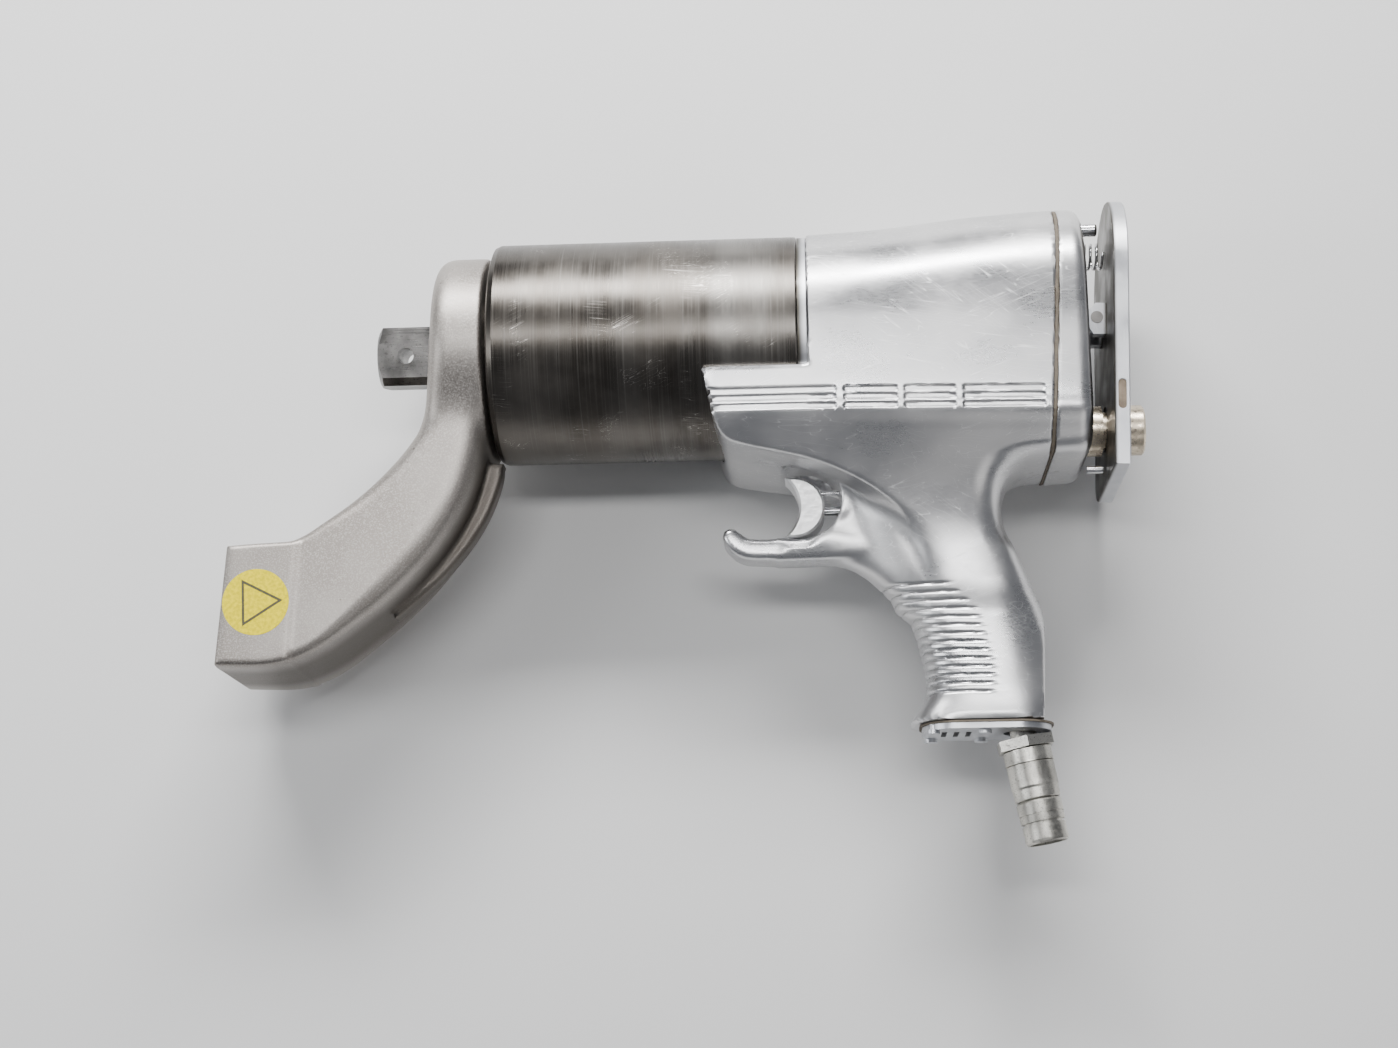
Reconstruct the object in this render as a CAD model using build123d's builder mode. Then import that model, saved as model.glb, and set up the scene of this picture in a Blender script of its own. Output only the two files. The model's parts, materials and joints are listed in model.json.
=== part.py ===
"""Pneumatic torque wrench: pistol grip, planetary gearbox, one inch square drive.

Millimetres. +X runs along the drive axis from the square drive to the rear of the tool,
+Y is the top of the tool and +Z its left side. The origin is the centre of the cross hole
in the square drive. The wrench lies on its right side, so +Z points up.
"""

import os
from math import acos, cos, pi, radians, sin, tan

from build123d import *

# ---------------------------------------------------------------- driving dimensions
GAP = 0.3                 # clearance between bodies that move past each other
FIT = 0.05                # radial clearance of a running fit

square_side = 25.4        # one inch drive
square_chamfer = 3.25
square_front = -12.5
square_twist = 12.0       # turn of the square about the drive axis, degrees
cross_hole_r = 3.5

arm_front = 14.5
arm_back = 37.2
arm_ring_r = 42.5
arm_leg_half = 30.5
arm_foot_half = 31.5
arm_web_half = 5.0
arm_bore_r = 31.0

gearbox_front = 39.5
gearbox_back = 170.0
gearbox_r = 48.0
spigot_r = 38.0
spigot_back = 186.0

gear_module = 1.5
pressure_angle = radians(25)
sun_teeth = 12
planet_teeth = 18
ring_teeth = 48
planet_count = 3
gear_backlash = 0.25      # taken from the width of each tooth
planet_pin_r = 4.0
carrier_r = 33.0
shaft_r = 20.0
bush_r = 24.0

housing_front = 174.0
nose_front = 130.0
nose_top = -22.0
joint_face_x = 277.1      # where the rear joint face crosses the drive axis
joint_face_tilt = 3.3     # lean of that face, degrees
gasket_thickness = 1.4
cover_back = 291.5
motor_pocket_r = 34.0
motor_pocket_back = 258.0
liner_bore_r = 27.0
liner_offset = 3.0
rotor_r = 23.8
vane_count = 5

screw_places = [(40, 24), (40, -24), (-30, 31), (-30, -31)]   # (y, z) of the cover screws
screw_r = 2.5
screw_head_r = 4.5
screw_head = 4.8
hex_socket = 2.0          # half the width across its flats

valve_y = -73.5
valve_bore_r = 6.5
stem_r = 2.1
guide_y = -65.7
guide_r = 1.0
recess_centre = (170.5, -70.7)
recess_r = 16.5
recess_half = 13.0        # the recess stays between the flanks
web_half = 11.0
guard_half = 9.0
grip_bottom = -167.0

rocker_pin = (298.0, 7.0)
rocker_pin_r = 2.65
rocker_face = 302.0       # the plate's inner face before it leans
rocker_thickness = 6.5
rocker_half = 36.0
rocker_lean = -2.5        # degrees at rest, foot of the plate nearer the cover
plunger_y = -41.0
plunger_r = 10.75
spring_y = 38.0

silencer_x = 232.0
silencer_r = 7.8
silencer_top = grip_bottom + 24

inlet_x = 259.5
inlet_way_r = 5.5
inlet_lean = 10.4         # coupler axis, degrees from straight down towards the rear
inlet_base_y = grip_bottom - 3.2

PITCH_R = {teeth: gear_module * teeth / 2 for teeth in (sun_teeth, planet_teeth, ring_teeth)}
planet_orbit_r = PITCH_R[sun_teeth] + PITCH_R[planet_teeth]


# ---------------------------------------------------------------- shared operations
def turned(outline, axis=Axis.X, plane=Plane.XY, mode=Mode.ADD):
    """Revolve a closed outline of (along, radius) points about an axis."""
    with BuildSketch(plane) as profile:
        with BuildLine():
            Polyline(*outline, close=True)
        make_face()
    revolve(profile.sketch, axis=axis, mode=mode)


def tube(start, end, outer, inner):
    """A plain ring about the drive axis, from start to end."""
    turned([(start, inner), (end, inner), (end, outer), (start, outer)])


def drilled(x_from, x_to, y, z, radius):
    """Cut a round hole parallel to the drive axis."""
    face = Plane(origin=(x_from, y, z), x_dir=(0, 1, 0), z_dir=(1, 0, 0))
    with BuildSketch(face) as hole:
        Circle(radius)
    extrude(hole.sketch, amount=x_to - x_from, mode=Mode.SUBTRACT)


def rod(x_from, x_to, y, z, radius):
    """A round bar parallel to the drive axis."""
    face = Plane(origin=(x_from, y, z), x_dir=(0, 1, 0), z_dir=(1, 0, 0))
    with BuildSketch(face) as section:
        Circle(radius)
    extrude(section.sketch, amount=x_to - x_from)


def upright(y_from, y_to, x, z, radius, mode=Mode.ADD):
    """A round bar or hole square to the grip end, from y_from down to y_to."""
    with BuildSketch(Plane(origin=(x, y_from, z), x_dir=(1, 0, 0), z_dir=(0, -1, 0))) as section:
        Circle(radius)
    extrude(section.sketch, amount=y_from - y_to, mode=mode)


def involute(angle):
    return tan(angle) - angle


def gear_outline(teeth, inner_r, outer_r, backlash, phase):
    """Corner points of a toothed wheel with involute flanks of three flats each."""
    pitch_r = PITCH_R[teeth]
    base_r = pitch_r * cos(pressure_angle)
    half_pitch = (pi * gear_module / 2 - backlash) / (2 * pitch_r)
    start_r = max(inner_r, base_r)
    flank = [(inner_r, base_r)] if inner_r < base_r else []
    steps = [start_r + (outer_r - start_r) * k / 3 for k in range(4)]
    flank += [(r, r) for r in steps]
    points = []
    for tooth in range(teeth):
        centre = phase + 2 * pi * tooth / teeth
        rising = []
        for radius, involute_r in flank:
            lean = involute(acos(min(1.0, base_r / involute_r)))
            half = half_pitch + involute(pressure_angle) - lean
            rising.append((radius, half))
        for radius, half in rising:
            points.append((radius * cos(centre - half), radius * sin(centre - half)))
        for radius, half in reversed(rising):
            points.append((radius * cos(centre + half), radius * sin(centre + half)))
    return points


def across(x):
    """The plane square to the drive axis at x, with its own x along +Y."""
    return Plane(origin=(x, 0, 0), x_dir=(0, 1, 0), z_dir=(1, 0, 0))


def wheel(x_from, x_to, outline, centre=(0.0, 0.0), mode=Mode.ADD):
    """Extrude a toothed outline along the drive axis."""
    with BuildSketch(across(x_from)) as profile:
        with Locations(centre):
            with BuildLine():
                Polyline(*[(centre[0] + a, centre[1] + b) for a, b in outline], close=True)
            make_face()
    extrude(profile.sketch, amount=x_to - x_from, mode=mode)


def orbit(index, radius):
    """Centre (y, z) of one of the planets."""
    angle = 2 * pi * index / planet_count
    return (radius * cos(angle), radius * sin(angle))


def spring_wire(start, axis_dir, length, coil_r, wire_r, turns):
    """A round-wire compression spring as one swept solid."""
    with BuildLine(Plane.XY) as path:
        Helix(pitch=length / turns, height=length, radius=coil_r, center=start,
              direction=axis_dir)
    wire = path.wires()[0]
    with BuildSketch(Plane(origin=wire @ 0, z_dir=wire % 0)) as section:
        Circle(wire_r)
    sweep(section.sketch, path=wire, is_frenet=True)


def save(builder, name):
    builder.part.label = name
    export_step(builder.part, f"parts/{name}.step")


os.makedirs("parts", exist_ok=True)

# ---------------------------------------------------------------- output shaft and last stage
output_plate = (52.0, 58.0)
output_planets = (59.0, 76.0)
output_rear_plate = (77.0, 82.0)
sun_tip = PITCH_R[sun_teeth] + gear_module
sun_root = PITCH_R[sun_teeth] - 1.25 * gear_module
planet_tip = PITCH_R[planet_teeth] + gear_module
planet_root = PITCH_R[planet_teeth] - 1.25 * gear_module
ring_tip = PITCH_R[ring_teeth] - gear_module
ring_root = PITCH_R[ring_teeth] + 1.25 * gear_module
sun_profile = gear_outline(sun_teeth, sun_root, sun_tip, gear_backlash, 0.0)
planet_profile = gear_outline(planet_teeth, planet_root, planet_tip, gear_backlash, pi / planet_teeth)
ring_profile = gear_outline(ring_teeth, ring_tip, ring_root, -gear_backlash, pi / ring_teeth)

hole_axis = (0, -sin(radians(square_twist)), cos(radians(square_twist)))
cross_plane = Plane(origin=(0, 0, 0), x_dir=(1, 0, 0), z_dir=hole_axis)

with BuildPart() as drive_shaft:
    with BuildSketch(across(square_front)):
        Rectangle(square_side, square_side, rotation=square_twist)
        chamfer(vertices(), square_chamfer)
    extrude(amount=arm_front + 3 - square_front)
    # the square's corners are turned down to a short cone at its tip
    turned([(square_front, 0), (square_front, 12.2), (square_front + 3.5, 18),
            (output_plate[1], 48), (output_plate[1], 0)], mode=Mode.INTERSECT)
    turned([(arm_front + 3, 0), (arm_front + 3, 18.5), (arm_front + 4.5, shaft_r),
            (output_plate[0], shaft_r), (output_plate[0], carrier_r),
            (output_plate[1], carrier_r), (output_plate[1], 0)])
    with BuildSketch(cross_plane.offset(-square_side)):
        Circle(cross_hole_r)
    extrude(amount=2 * square_side, mode=Mode.SUBTRACT)
    for index in range(planet_count):
        y, z = orbit(index, planet_orbit_r)
        drilled(output_plate[0], output_plate[1], y, z, planet_pin_r)
save(drive_shaft, "drive_shaft")

with BuildPart() as output_carrier_plate:
    tube(output_rear_plate[0], output_rear_plate[1], carrier_r, sun_tip + 1)
    for index in range(planet_count):
        y, z = orbit(index, planet_orbit_r)
        drilled(output_rear_plate[0], output_rear_plate[1], y, z, planet_pin_r)
save(output_carrier_plate, "output_carrier_plate")

with BuildPart() as output_planet_pins:
    for index in range(planet_count):
        y, z = orbit(index, planet_orbit_r)
        rod(output_plate[0], output_rear_plate[1], y, z, planet_pin_r)
save(output_planet_pins, "output_planet_pins")

# ---------------------------------------------------------------- first stage
first_plate = (102.0, 108.0)
first_planets = (109.0, 125.0)
first_rear_plate = (126.0, 131.0)

with BuildPart() as first_stage_carrier:
    tube(first_plate[0], first_plate[1], carrier_r, 0)
    wheel(output_planets[0], first_plate[0], sun_profile)
    for index in range(planet_count):
        y, z = orbit(index, planet_orbit_r)
        drilled(first_plate[0], first_plate[1], y, z, planet_pin_r)
save(first_stage_carrier, "first_stage_carrier")

with BuildPart() as first_carrier_plate:
    tube(first_rear_plate[0], first_rear_plate[1], carrier_r, sun_tip + 1)
    for index in range(planet_count):
        y, z = orbit(index, planet_orbit_r)
        drilled(first_rear_plate[0], first_rear_plate[1], y, z, planet_pin_r)
save(first_carrier_plate, "first_carrier_plate")

with BuildPart() as first_planet_pins:
    for index in range(planet_count):
        y, z = orbit(index, planet_orbit_r)
        rod(first_plate[0], first_rear_plate[1], y, z, planet_pin_r)
save(first_planet_pins, "first_planet_pins")

for stage, (start, end) in {"output": output_planets, "first": first_planets}.items():
    for index in range(planet_count):
        centre = orbit(index, planet_orbit_r)
        with BuildPart() as planet_gear:
            wheel(start, end, planet_profile, centre)
            drilled(start, end, centre[0], centre[1], planet_pin_r + FIT)
        save(planet_gear, f"{stage}_planet_{index + 1}")

# ---------------------------------------------------------------- gearbox
gearbox_nose_front = 17.5
ring_groove = (21.4, 23.0)
ring_groove_r = 28.0
gearbox_nose_r = arm_bore_r - 0.2
gear_room = (50.0, 143.0)
gear_room_r = 40.0
shaft_hole_r = 9.0

with BuildPart() as gearbox_housing:
    turned([(gearbox_nose_front, bush_r), (gearbox_nose_front, 28.5), (gearbox_nose_front + 1, 29.5),
            (ring_groove[0], 29.5), (ring_groove[0], ring_groove_r), (ring_groove[1], ring_groove_r),
            (ring_groove[1], gearbox_nose_r), (gearbox_front, gearbox_nose_r),
            (gearbox_front, gearbox_r - 3), (gearbox_front + 0.9, gearbox_r - 0.9),
            (gearbox_front + 3, gearbox_r), (gearbox_back - 0.6, gearbox_r),
            (gearbox_back, gearbox_r - 0.6), (gearbox_back, spigot_r), (spigot_back, spigot_r),
            (spigot_back, 33), (157, 33), (157, shaft_hole_r), (150, shaft_hole_r), (150, 30),
            (gear_room[1], 30), (gear_room[1], gear_room_r), (gear_room[0], gear_room_r),
            (gear_room[0], bush_r)])
    # one internal ring gear serves both stages
    with BuildSketch(across(gear_room[0])):
        Circle(gear_room_r + 1)
        with BuildLine():
            Polyline(*ring_profile, close=True)
        make_face(mode=Mode.SUBTRACT)
    extrude(amount=gear_room[1] - gear_room[0])
save(gearbox_housing, "gearbox_housing")

with BuildPart() as output_bush:
    tube(24, gear_room[0], bush_r, shaft_r + FIT)
save(output_bush, "output_bush")

with BuildPart() as output_seal:
    lip_r = shaft_r + FIT
    turned([(gearbox_nose_front + 1, bush_r), (23.8, bush_r), (23.8, 22.4), (20.5, 22.4), (20.0, lip_r),
            (gearbox_nose_front + 1.8, lip_r), (gearbox_nose_front + 1, 22)])
save(output_seal, "output_seal")

with BuildPart() as arm_retaining_ring:
    with BuildSketch(across(ring_groove[0] + 0.1)):
        Circle(33)
        Circle(ring_groove_r + 0.1, mode=Mode.SUBTRACT)
        with Locations((-30, 0)):
            Rectangle(12, 9, mode=Mode.SUBTRACT)
    extrude(amount=ring_groove[1] - ring_groove[0] - 0.3)
save(arm_retaining_ring, "arm_retaining_ring")

# ---------------------------------------------------------------- reaction arm
foot_left = -72.5
foot_top = -89.0
foot_bottom = -140.5
label_centre = (-56.5, -114.5)
label_r = 14.0
label_thickness = 0.25

with BuildPart() as reaction_arm:
    with BuildSketch(Plane.XY.offset(-arm_ring_r)):
        with BuildLine():
            front = Line((arm_front, arm_ring_r), (arm_front, -20))
            inside = Spline(front @ 1, (6, -44), (-20, -72), (-46, -88),
                            tangents=[(0, -1), (-1, -0.15)])
            Polyline(inside @ 1, (foot_left + 2, foot_top - 0.5), (foot_left - 1, foot_bottom),
                     (-55, foot_bottom - 0.5))
            outside = Spline((-55, foot_bottom - 0.5), (-16, -124), (10, -100), (28.5, -72), (arm_back, -32),
                             tangents=[(1, 0), (0, 1)])
            Polyline(outside @ 1, (arm_back, arm_ring_r), (arm_front, arm_ring_r))
        make_face()
    extrude(amount=2 * arm_ring_r)
    with BuildSketch(across(foot_left - 10)):
        Circle(arm_ring_r)
        with Locations((foot_bottom / 2 - 2, 0)):
            Rectangle(-foot_bottom + 4, 2 * arm_leg_half)
    extrude(amount=arm_back - foot_left + 20, mode=Mode.INTERSECT)
    leg_edges = edges().filter_by(lambda edge: edge.length > 8)
    fillet(leg_edges, 3.0)
    with BuildSketch(Plane.XY.offset(-arm_foot_half)):
        with BuildLine():
            Polyline((foot_left + 2, foot_top - 0.5), (-41, foot_top + 0.2), (-42.5, foot_bottom + 2),
                     (-55, foot_bottom - 0.5), (foot_left - 1, foot_bottom), close=True)
        make_face()
    extrude(amount=2 * arm_foot_half)
    with BuildSketch(Plane.XY.offset(-arm_web_half)):
        with BuildLine():
            crown = Line((20, -50), (41.5, -50))
            rim = Spline(crown @ 1, (39, -65), (27, -88), (-4, -118), tangents=[(0.1, -1), (-1, -0.8)])
            Polyline(rim @ 1, (0, -100), crown @ 0)
        make_face()
    extrude(amount=2 * arm_web_half)
    turned([(arm_front - 1, 0), (arm_front - 1, 34.5), (arm_front + 0.8, 33.5), (23.2, 33.5),
            (23.2, arm_bore_r), (arm_back + 1, arm_bore_r), (arm_back + 1, 0)], mode=Mode.SUBTRACT)
    with BuildSketch(Plane.XY.offset(arm_foot_half)):
        with Locations(label_centre):
            Circle(label_r)
    extrude(amount=-label_thickness, mode=Mode.SUBTRACT)
save(reaction_arm, "reaction_arm")

with BuildPart() as arm_label:
    with BuildSketch(Plane.XY.offset(arm_foot_half)):
        with Locations(label_centre):
            Circle(label_r)
    extrude(amount=-label_thickness)
save(arm_label, "arm_label")

# ---------------------------------------------------------------- motor housing
front_section = [(48.5, 0.0), (45.2, -41.0), (33.0, -57.5)]
rear_section = [(40.0, 17.0), (39.2, -41.0), (27.0, -59.0)]


def housing_section(x, half_points, radius, centre_y):
    """Closed outline: a round top, two flanks, two lower facets and a flat underside."""
    with BuildSketch(across(x)) as section:
        with BuildLine():
            (side, side_y), (waist, waist_y), (base, base_y) = half_points
            ThreePointArc((side_y, -side), (centre_y + radius, 0), (side_y, side))
            Polyline((side_y, side), (waist_y, waist), (base_y, base), (base_y, -base),
                     (waist_y, -waist), (side_y, -side))
        make_face()
    return section.sketch


coupler_dir = Vector(sin(radians(inlet_lean)), -cos(radians(inlet_lean)), 0)
coupler_base = Vector(inlet_x, inlet_base_y, 0)
coupler_plane = Plane(origin=coupler_base, x_dir=coupler_dir, z_dir=(0, 0, 1))
coupler_axis = Axis(coupler_base, coupler_dir)


def along(outline, mode=Mode.ADD):
    """Revolve (distance from the grip end, radius) points about the coupler's axis."""
    turned(outline, axis=coupler_axis, plane=coupler_plane, mode=mode)


joint_face = Plane(origin=(joint_face_x, 0, 0), x_dir=(0, 0, 1),
                   z_dir=(cos(radians(joint_face_tilt)), -sin(radians(joint_face_tilt)), 0))
body_end = 296.0

with BuildPart() as barrel:
    loft([housing_section(housing_front, front_section, 48.5, 0.0),
          housing_section(body_end, rear_section, 40.0, 17.0)], ruled=True)

flank_levels = {-48: (146, 280, 41), -58: (165, 270, 35), -66: (187, 256, 29), -76: (205, 252.5, 24),
                -88: (214, 253.5, 20)}
grip_levels = {-66: (191, 254, 19), -78: (193, 252.3, 18.5), -90: (197, 254.5, 18), -104: (203.5, 262.5, 18),
               -119: (213, 269.5, 18), -136: (218, 273.3, 18.5), -152: (219.8, 274, 19),
               -161: (217, 273.5, 19.5), grip_bottom: (213, 273, 20)}


def level_section(y, x_front, x_back, half_width):
    """A rounded oblong lying across the tool at height y."""
    face = Plane(origin=((x_front + x_back) / 2, y, 0), x_dir=(1, 0, 0), z_dir=(0, -1, 0))
    with BuildSketch(face) as section:
        RectangleRounded(x_back - x_front, 2 * half_width, 0.8 * half_width)
    return section.sketch


with BuildPart() as nose:
    with BuildSketch(Plane.XY.offset(-50)):
        with BuildLine():
            Polyline((nose_front, nose_top), (133, -36), (135.5, -45), (139, -51), (146, -54.5),
                     (166, -57.5), (housing_front, -57.5), (housing_front, nose_top), close=True)
        make_face()
    extrude(amount=100)
    with BuildSketch(across(nose_front - 5)):
        with BuildLine():
            (side, side_y), (waist, waist_y), (base, base_y) = front_section
            Polyline((side_y, side), (waist_y, waist), (base_y, base), (base_y, -base),
                     (waist_y, -waist), (side_y, -side), close=True)
        make_face()
    extrude(amount=housing_front - nose_front + 5, mode=Mode.INTERSECT)

with BuildPart() as motor_housing:
    add(barrel.part)
    # nose that cradles the underside of the gearbox
    add(nose.part)
    turned([(nose_front - 5, 0), (nose_front - 5, gearbox_r + GAP), (housing_front, gearbox_r + GAP),
            (housing_front, 0)], mode=Mode.SUBTRACT)
    # flanks that draw in towards the grip, then the grip itself
    loft([level_section(y, *size) for y, size in flank_levels.items()])
    loft([level_section(y, *size) for y, size in grip_levels.items()])
    # web around the trigger, running into the underside of the grip root
    with BuildSketch(Plane.XY.offset(-web_half)):
        with BuildLine():
            Polyline((170.5, -50), (235, -50), (235, -116), (211.5, -116), (209, -112), (202.5, -105.5),
                     (196, -101), (189, -97.6), (180, -95.8), (170.5, -95.5), close=True)
        make_face()
    extrude(amount=2 * web_half)
    # trigger guard hook
    with BuildSketch(Plane.XY.offset(-guard_half)):
        with BuildLine():
            Polyline((176, -95.7), (147, -95.7), (142, -93), (137.6, -88.5), (137.2, -85), (140, -83),
                     (143, -83.2), (147, -87.2), (176, -87.2), close=True)
        make_face()
    extrude(amount=2 * guard_half)
    with BuildSketch(Plane.XY.offset(-recess_half)):
        with Locations(recess_centre):
            Circle(recess_r)
    extrude(amount=2 * recess_half, mode=Mode.SUBTRACT)
    split(bisect_by=joint_face, keep=Keep.BOTTOM)
    # bores: gearbox spigot, motor pocket, rotor end, valve, air ways
    turned([(housing_front - 1, 0), (housing_front - 1, spigot_r + FIT), (187, spigot_r + FIT),
            (187, motor_pocket_r), (motor_pocket_back, motor_pocket_r), (motor_pocket_back, 0)],
           mode=Mode.SUBTRACT)
    drilled(262, 300, plunger_y, 0, plunger_r + FIT)
    for y, z in screw_places:
        drilled(262, 300, y, z, screw_r)
    drilled(183, 206, valve_y, 0, valve_bore_r)
    drilled(206, 226, valve_y, 0, valve_bore_r + 0.5)
    drilled(183, 200, guide_y, 0, guide_r + FIT)
    inlet_way_top = Vector(218, valve_y - 2, 0)
    inlet_way = Vector(inlet_x, grip_bottom - 1, 0) - inlet_way_top
    with BuildSketch(Plane(origin=inlet_way_top, z_dir=inlet_way)):
        Circle(inlet_way_r)
    extrude(amount=inlet_way.length, mode=Mode.SUBTRACT)
    along([(-16, 0), (-16, inlet_way_r), (6, inlet_way_r), (6, 0)], mode=Mode.SUBTRACT)
    upright(silencer_top + 3, grip_bottom - 1, silencer_x, 0, silencer_r + 0.2, mode=Mode.SUBTRACT)
save(motor_housing, "motor_housing")

# ---------------------------------------------------------------- rings and rear cover
with BuildPart() as spacer_ring:
    tube(gearbox_back + GAP, housing_front - 0.1, gearbox_r - 0.5, spigot_r + 0.3)
save(spacer_ring, "spacer_ring")


def rear_slice(start_offset, end_offset):
    """The part of the tapering barrel between two planes parallel to the joint face."""
    add(barrel.part)
    split(bisect_by=joint_face.offset(start_offset), keep=Keep.TOP)
    split(bisect_by=joint_face.offset(end_offset), keep=Keep.BOTTOM)


with BuildPart() as rear_gasket:
    rear_slice(0, gasket_thickness)
    drilled(260, 300, plunger_y, 0, plunger_r + 1)
    for y, z in screw_places:
        drilled(260, 300, y, z, screw_r + 0.2)
save(rear_gasket, "rear_gasket")

with BuildPart() as rear_cover:
    rear_slice(gasket_thickness, 30)
    split(bisect_by=across(cover_back), keep=Keep.BOTTOM)
    back_edges = faces().sort_by(Axis.X)[-1].edges()
    fillet(back_edges, 3.5)
    drilled(260, 300, plunger_y, 0, plunger_r + FIT)
    for y, z in screw_places:
        drilled(260, 300, y, z, screw_r + 0.2)
        drilled(cover_back - screw_head - 0.4, 300, y, z, screw_head_r + 0.2)
save(rear_cover, "rear_cover")

with BuildPart() as cover_screws:
    head_end = cover_back - 0.4
    for y, z in screw_places:
        rod(cover_back - 20, head_end - screw_head, y, z, screw_r)
        rod(head_end - screw_head, head_end, y, z, screw_head_r)
        with BuildSketch(Plane(origin=(head_end, y, z), x_dir=(0, 1, 0), z_dir=(-1, 0, 0))):
            RegularPolygon(hex_socket, 6, major_radius=False)
        extrude(amount=screw_head / 2, mode=Mode.SUBTRACT)
save(cover_screws, "cover_screws")

# ---------------------------------------------------------------- air motor
plate_r = motor_pocket_r - 0.1
front_plate = (188.0, 196.0)
liner_span = (196.0, 248.0)
rear_plate = (248.0, 256.0)
journal_r = 8.0
bearing_r = 13.0

with BuildPart() as front_end_plate:
    tube(front_plate[0], front_plate[1], plate_r, journal_r + 1)
    drilled(front_plate[0], front_plate[0] + 6, 0, 0, bearing_r)
save(front_end_plate, "front_end_plate")

with BuildPart() as rear_end_plate:
    tube(rear_plate[0], rear_plate[1], plate_r, journal_r + 1)
    drilled(rear_plate[0] + 2, rear_plate[1], 0, 0, bearing_r)
save(rear_end_plate, "rear_end_plate")

with BuildPart() as cylinder_liner:
    tube(liner_span[0], liner_span[1], plate_r, 0)
    drilled(liner_span[0], liner_span[1], liner_offset, 0, liner_bore_r)
save(cylinder_liner, "cylinder_liner")

bearing_width = 5.6
bearing_race = 1.3        # thickness of each ring
ball_r = 1.1
ball_orbit_r = (bearing_r + journal_r) / 2
ball_count = 8
for name, start in {"front_bearing": front_plate[0] + 0.2, "rear_bearing": rear_plate[0] + 2.1}.items():
    with BuildPart() as bearing:
        tube(start, start + bearing_width, bearing_r, bearing_r - bearing_race)
        tube(start, start + bearing_width, journal_r + bearing_race, journal_r + FIT)
        with Locations(across(start + bearing_width / 2)):
            with PolarLocations(ball_orbit_r, ball_count):
                Sphere(ball_r)
    save(bearing, name)

vane_width = 2.4
vane_slot_floor = 14.0
rotor_span = (liner_span[0] + 0.3, liner_span[1] - 0.3)
pinion_span = (first_planets[0], 141.0)

with BuildPart() as rotor:
    wheel(pinion_span[0], pinion_span[1], sun_profile)
    tube(pinion_span[1], front_plate[0], 6.8, 0)
    tube(front_plate[0], rotor_span[0], journal_r, 0)
    tube(rotor_span[0], rotor_span[1], rotor_r, 0)
    tube(rotor_span[1], rear_plate[1], journal_r, 0)
    with BuildSketch(across(rotor_span[0])):
        with PolarLocations((vane_slot_floor + rotor_r + 2) / 2, vane_count):
            Rectangle(rotor_r + 2 - vane_slot_floor, vane_width + 0.1)
    extrude(amount=rotor_span[1] - rotor_span[0], mode=Mode.SUBTRACT)
save(rotor, "rotor")

with BuildPart() as rotor_vanes:
    with BuildSketch(across(rotor_span[0] + 0.1)):
        with PolarLocations(19, vane_count):
            Rectangle(9.2, vane_width)
    extrude(amount=rotor_span[1] - rotor_span[0] - 0.2)
save(rotor_vanes, "rotor_vanes")

# ---------------------------------------------------------------- trigger and throttle valve
trigger_half = 8.0
stem_start = 176.1

with BuildPart() as trigger:
    with BuildSketch(Plane.XY.offset(-trigger_half)):
        with BuildLine():
            back = ThreePointArc((166.5, -60.2), (179.8, -73.2), (166.5, -86.4))
            foot = Line(back @ 1, (162.2, -86.4))
            belly = ThreePointArc(foot @ 1, (169, -73), (163.2, -60.2))
            Line(belly @ 1, back @ 0)
        make_face()
    extrude(amount=2 * trigger_half)
    for face in (faces().sort_by(Axis.Z)[0], faces().sort_by(Axis.Z)[-1]):
        chamfer(face.edges(), 1.0)
    drilled(stem_start - 0.1, 182, valve_y, 0, stem_r)
    drilled(stem_start - 0.1, 182, guide_y, 0, guide_r)
save(trigger, "trigger")

throttle_bush_span = (191.0, 203.0)
valve_head_start = throttle_bush_span[1] + 0.4
valve_head = 3.2
with BuildPart() as valve_stem:
    rod(stem_start, 208, valve_y, 0, stem_r)
    rod(valve_head_start, valve_head_start + valve_head, valve_y, 0, 5.0)
save(valve_stem, "valve_stem")

with BuildPart() as trigger_guide_pin:
    rod(stem_start, 190, guide_y, 0, guide_r)
save(trigger_guide_pin, "trigger_guide_pin")

with BuildPart() as throttle_bush:
    rod(*throttle_bush_span, valve_y, 0, valve_bore_r)
    drilled(*throttle_bush_span, valve_y, 0, stem_r + FIT)
save(throttle_bush, "throttle_bush")

with BuildPart() as valve_spring:
    spring_wire((valve_head_start + valve_head + 0.5, valve_y, 0), (1, 0, 0), 17, 4.2, 0.45, 5)
save(valve_spring, "valve_spring")

# ---------------------------------------------------------------- direction rocker
pin_x, pin_y = rocker_pin
lug_half = 4.8
ear_inner = 5.2
ear_outer = 10.0

with BuildPart() as rocker_lug:
    with BuildSketch(Plane.XY.offset(-lug_half)):
        with BuildLine():
            Polyline((cover_back, pin_y + 6.5), (pin_x, pin_y + 5), (pin_x + 2.4, pin_y + 2.5),
                     (pin_x + 2.4, pin_y - 2.5), (pin_x, pin_y - 5), (cover_back, pin_y - 6.5), close=True)
        make_face()
        with Locations(rocker_pin):
            Circle(rocker_pin_r + FIT, mode=Mode.SUBTRACT)
    extrude(amount=2 * lug_half)
save(rocker_lug, "rocker_lug")

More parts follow.
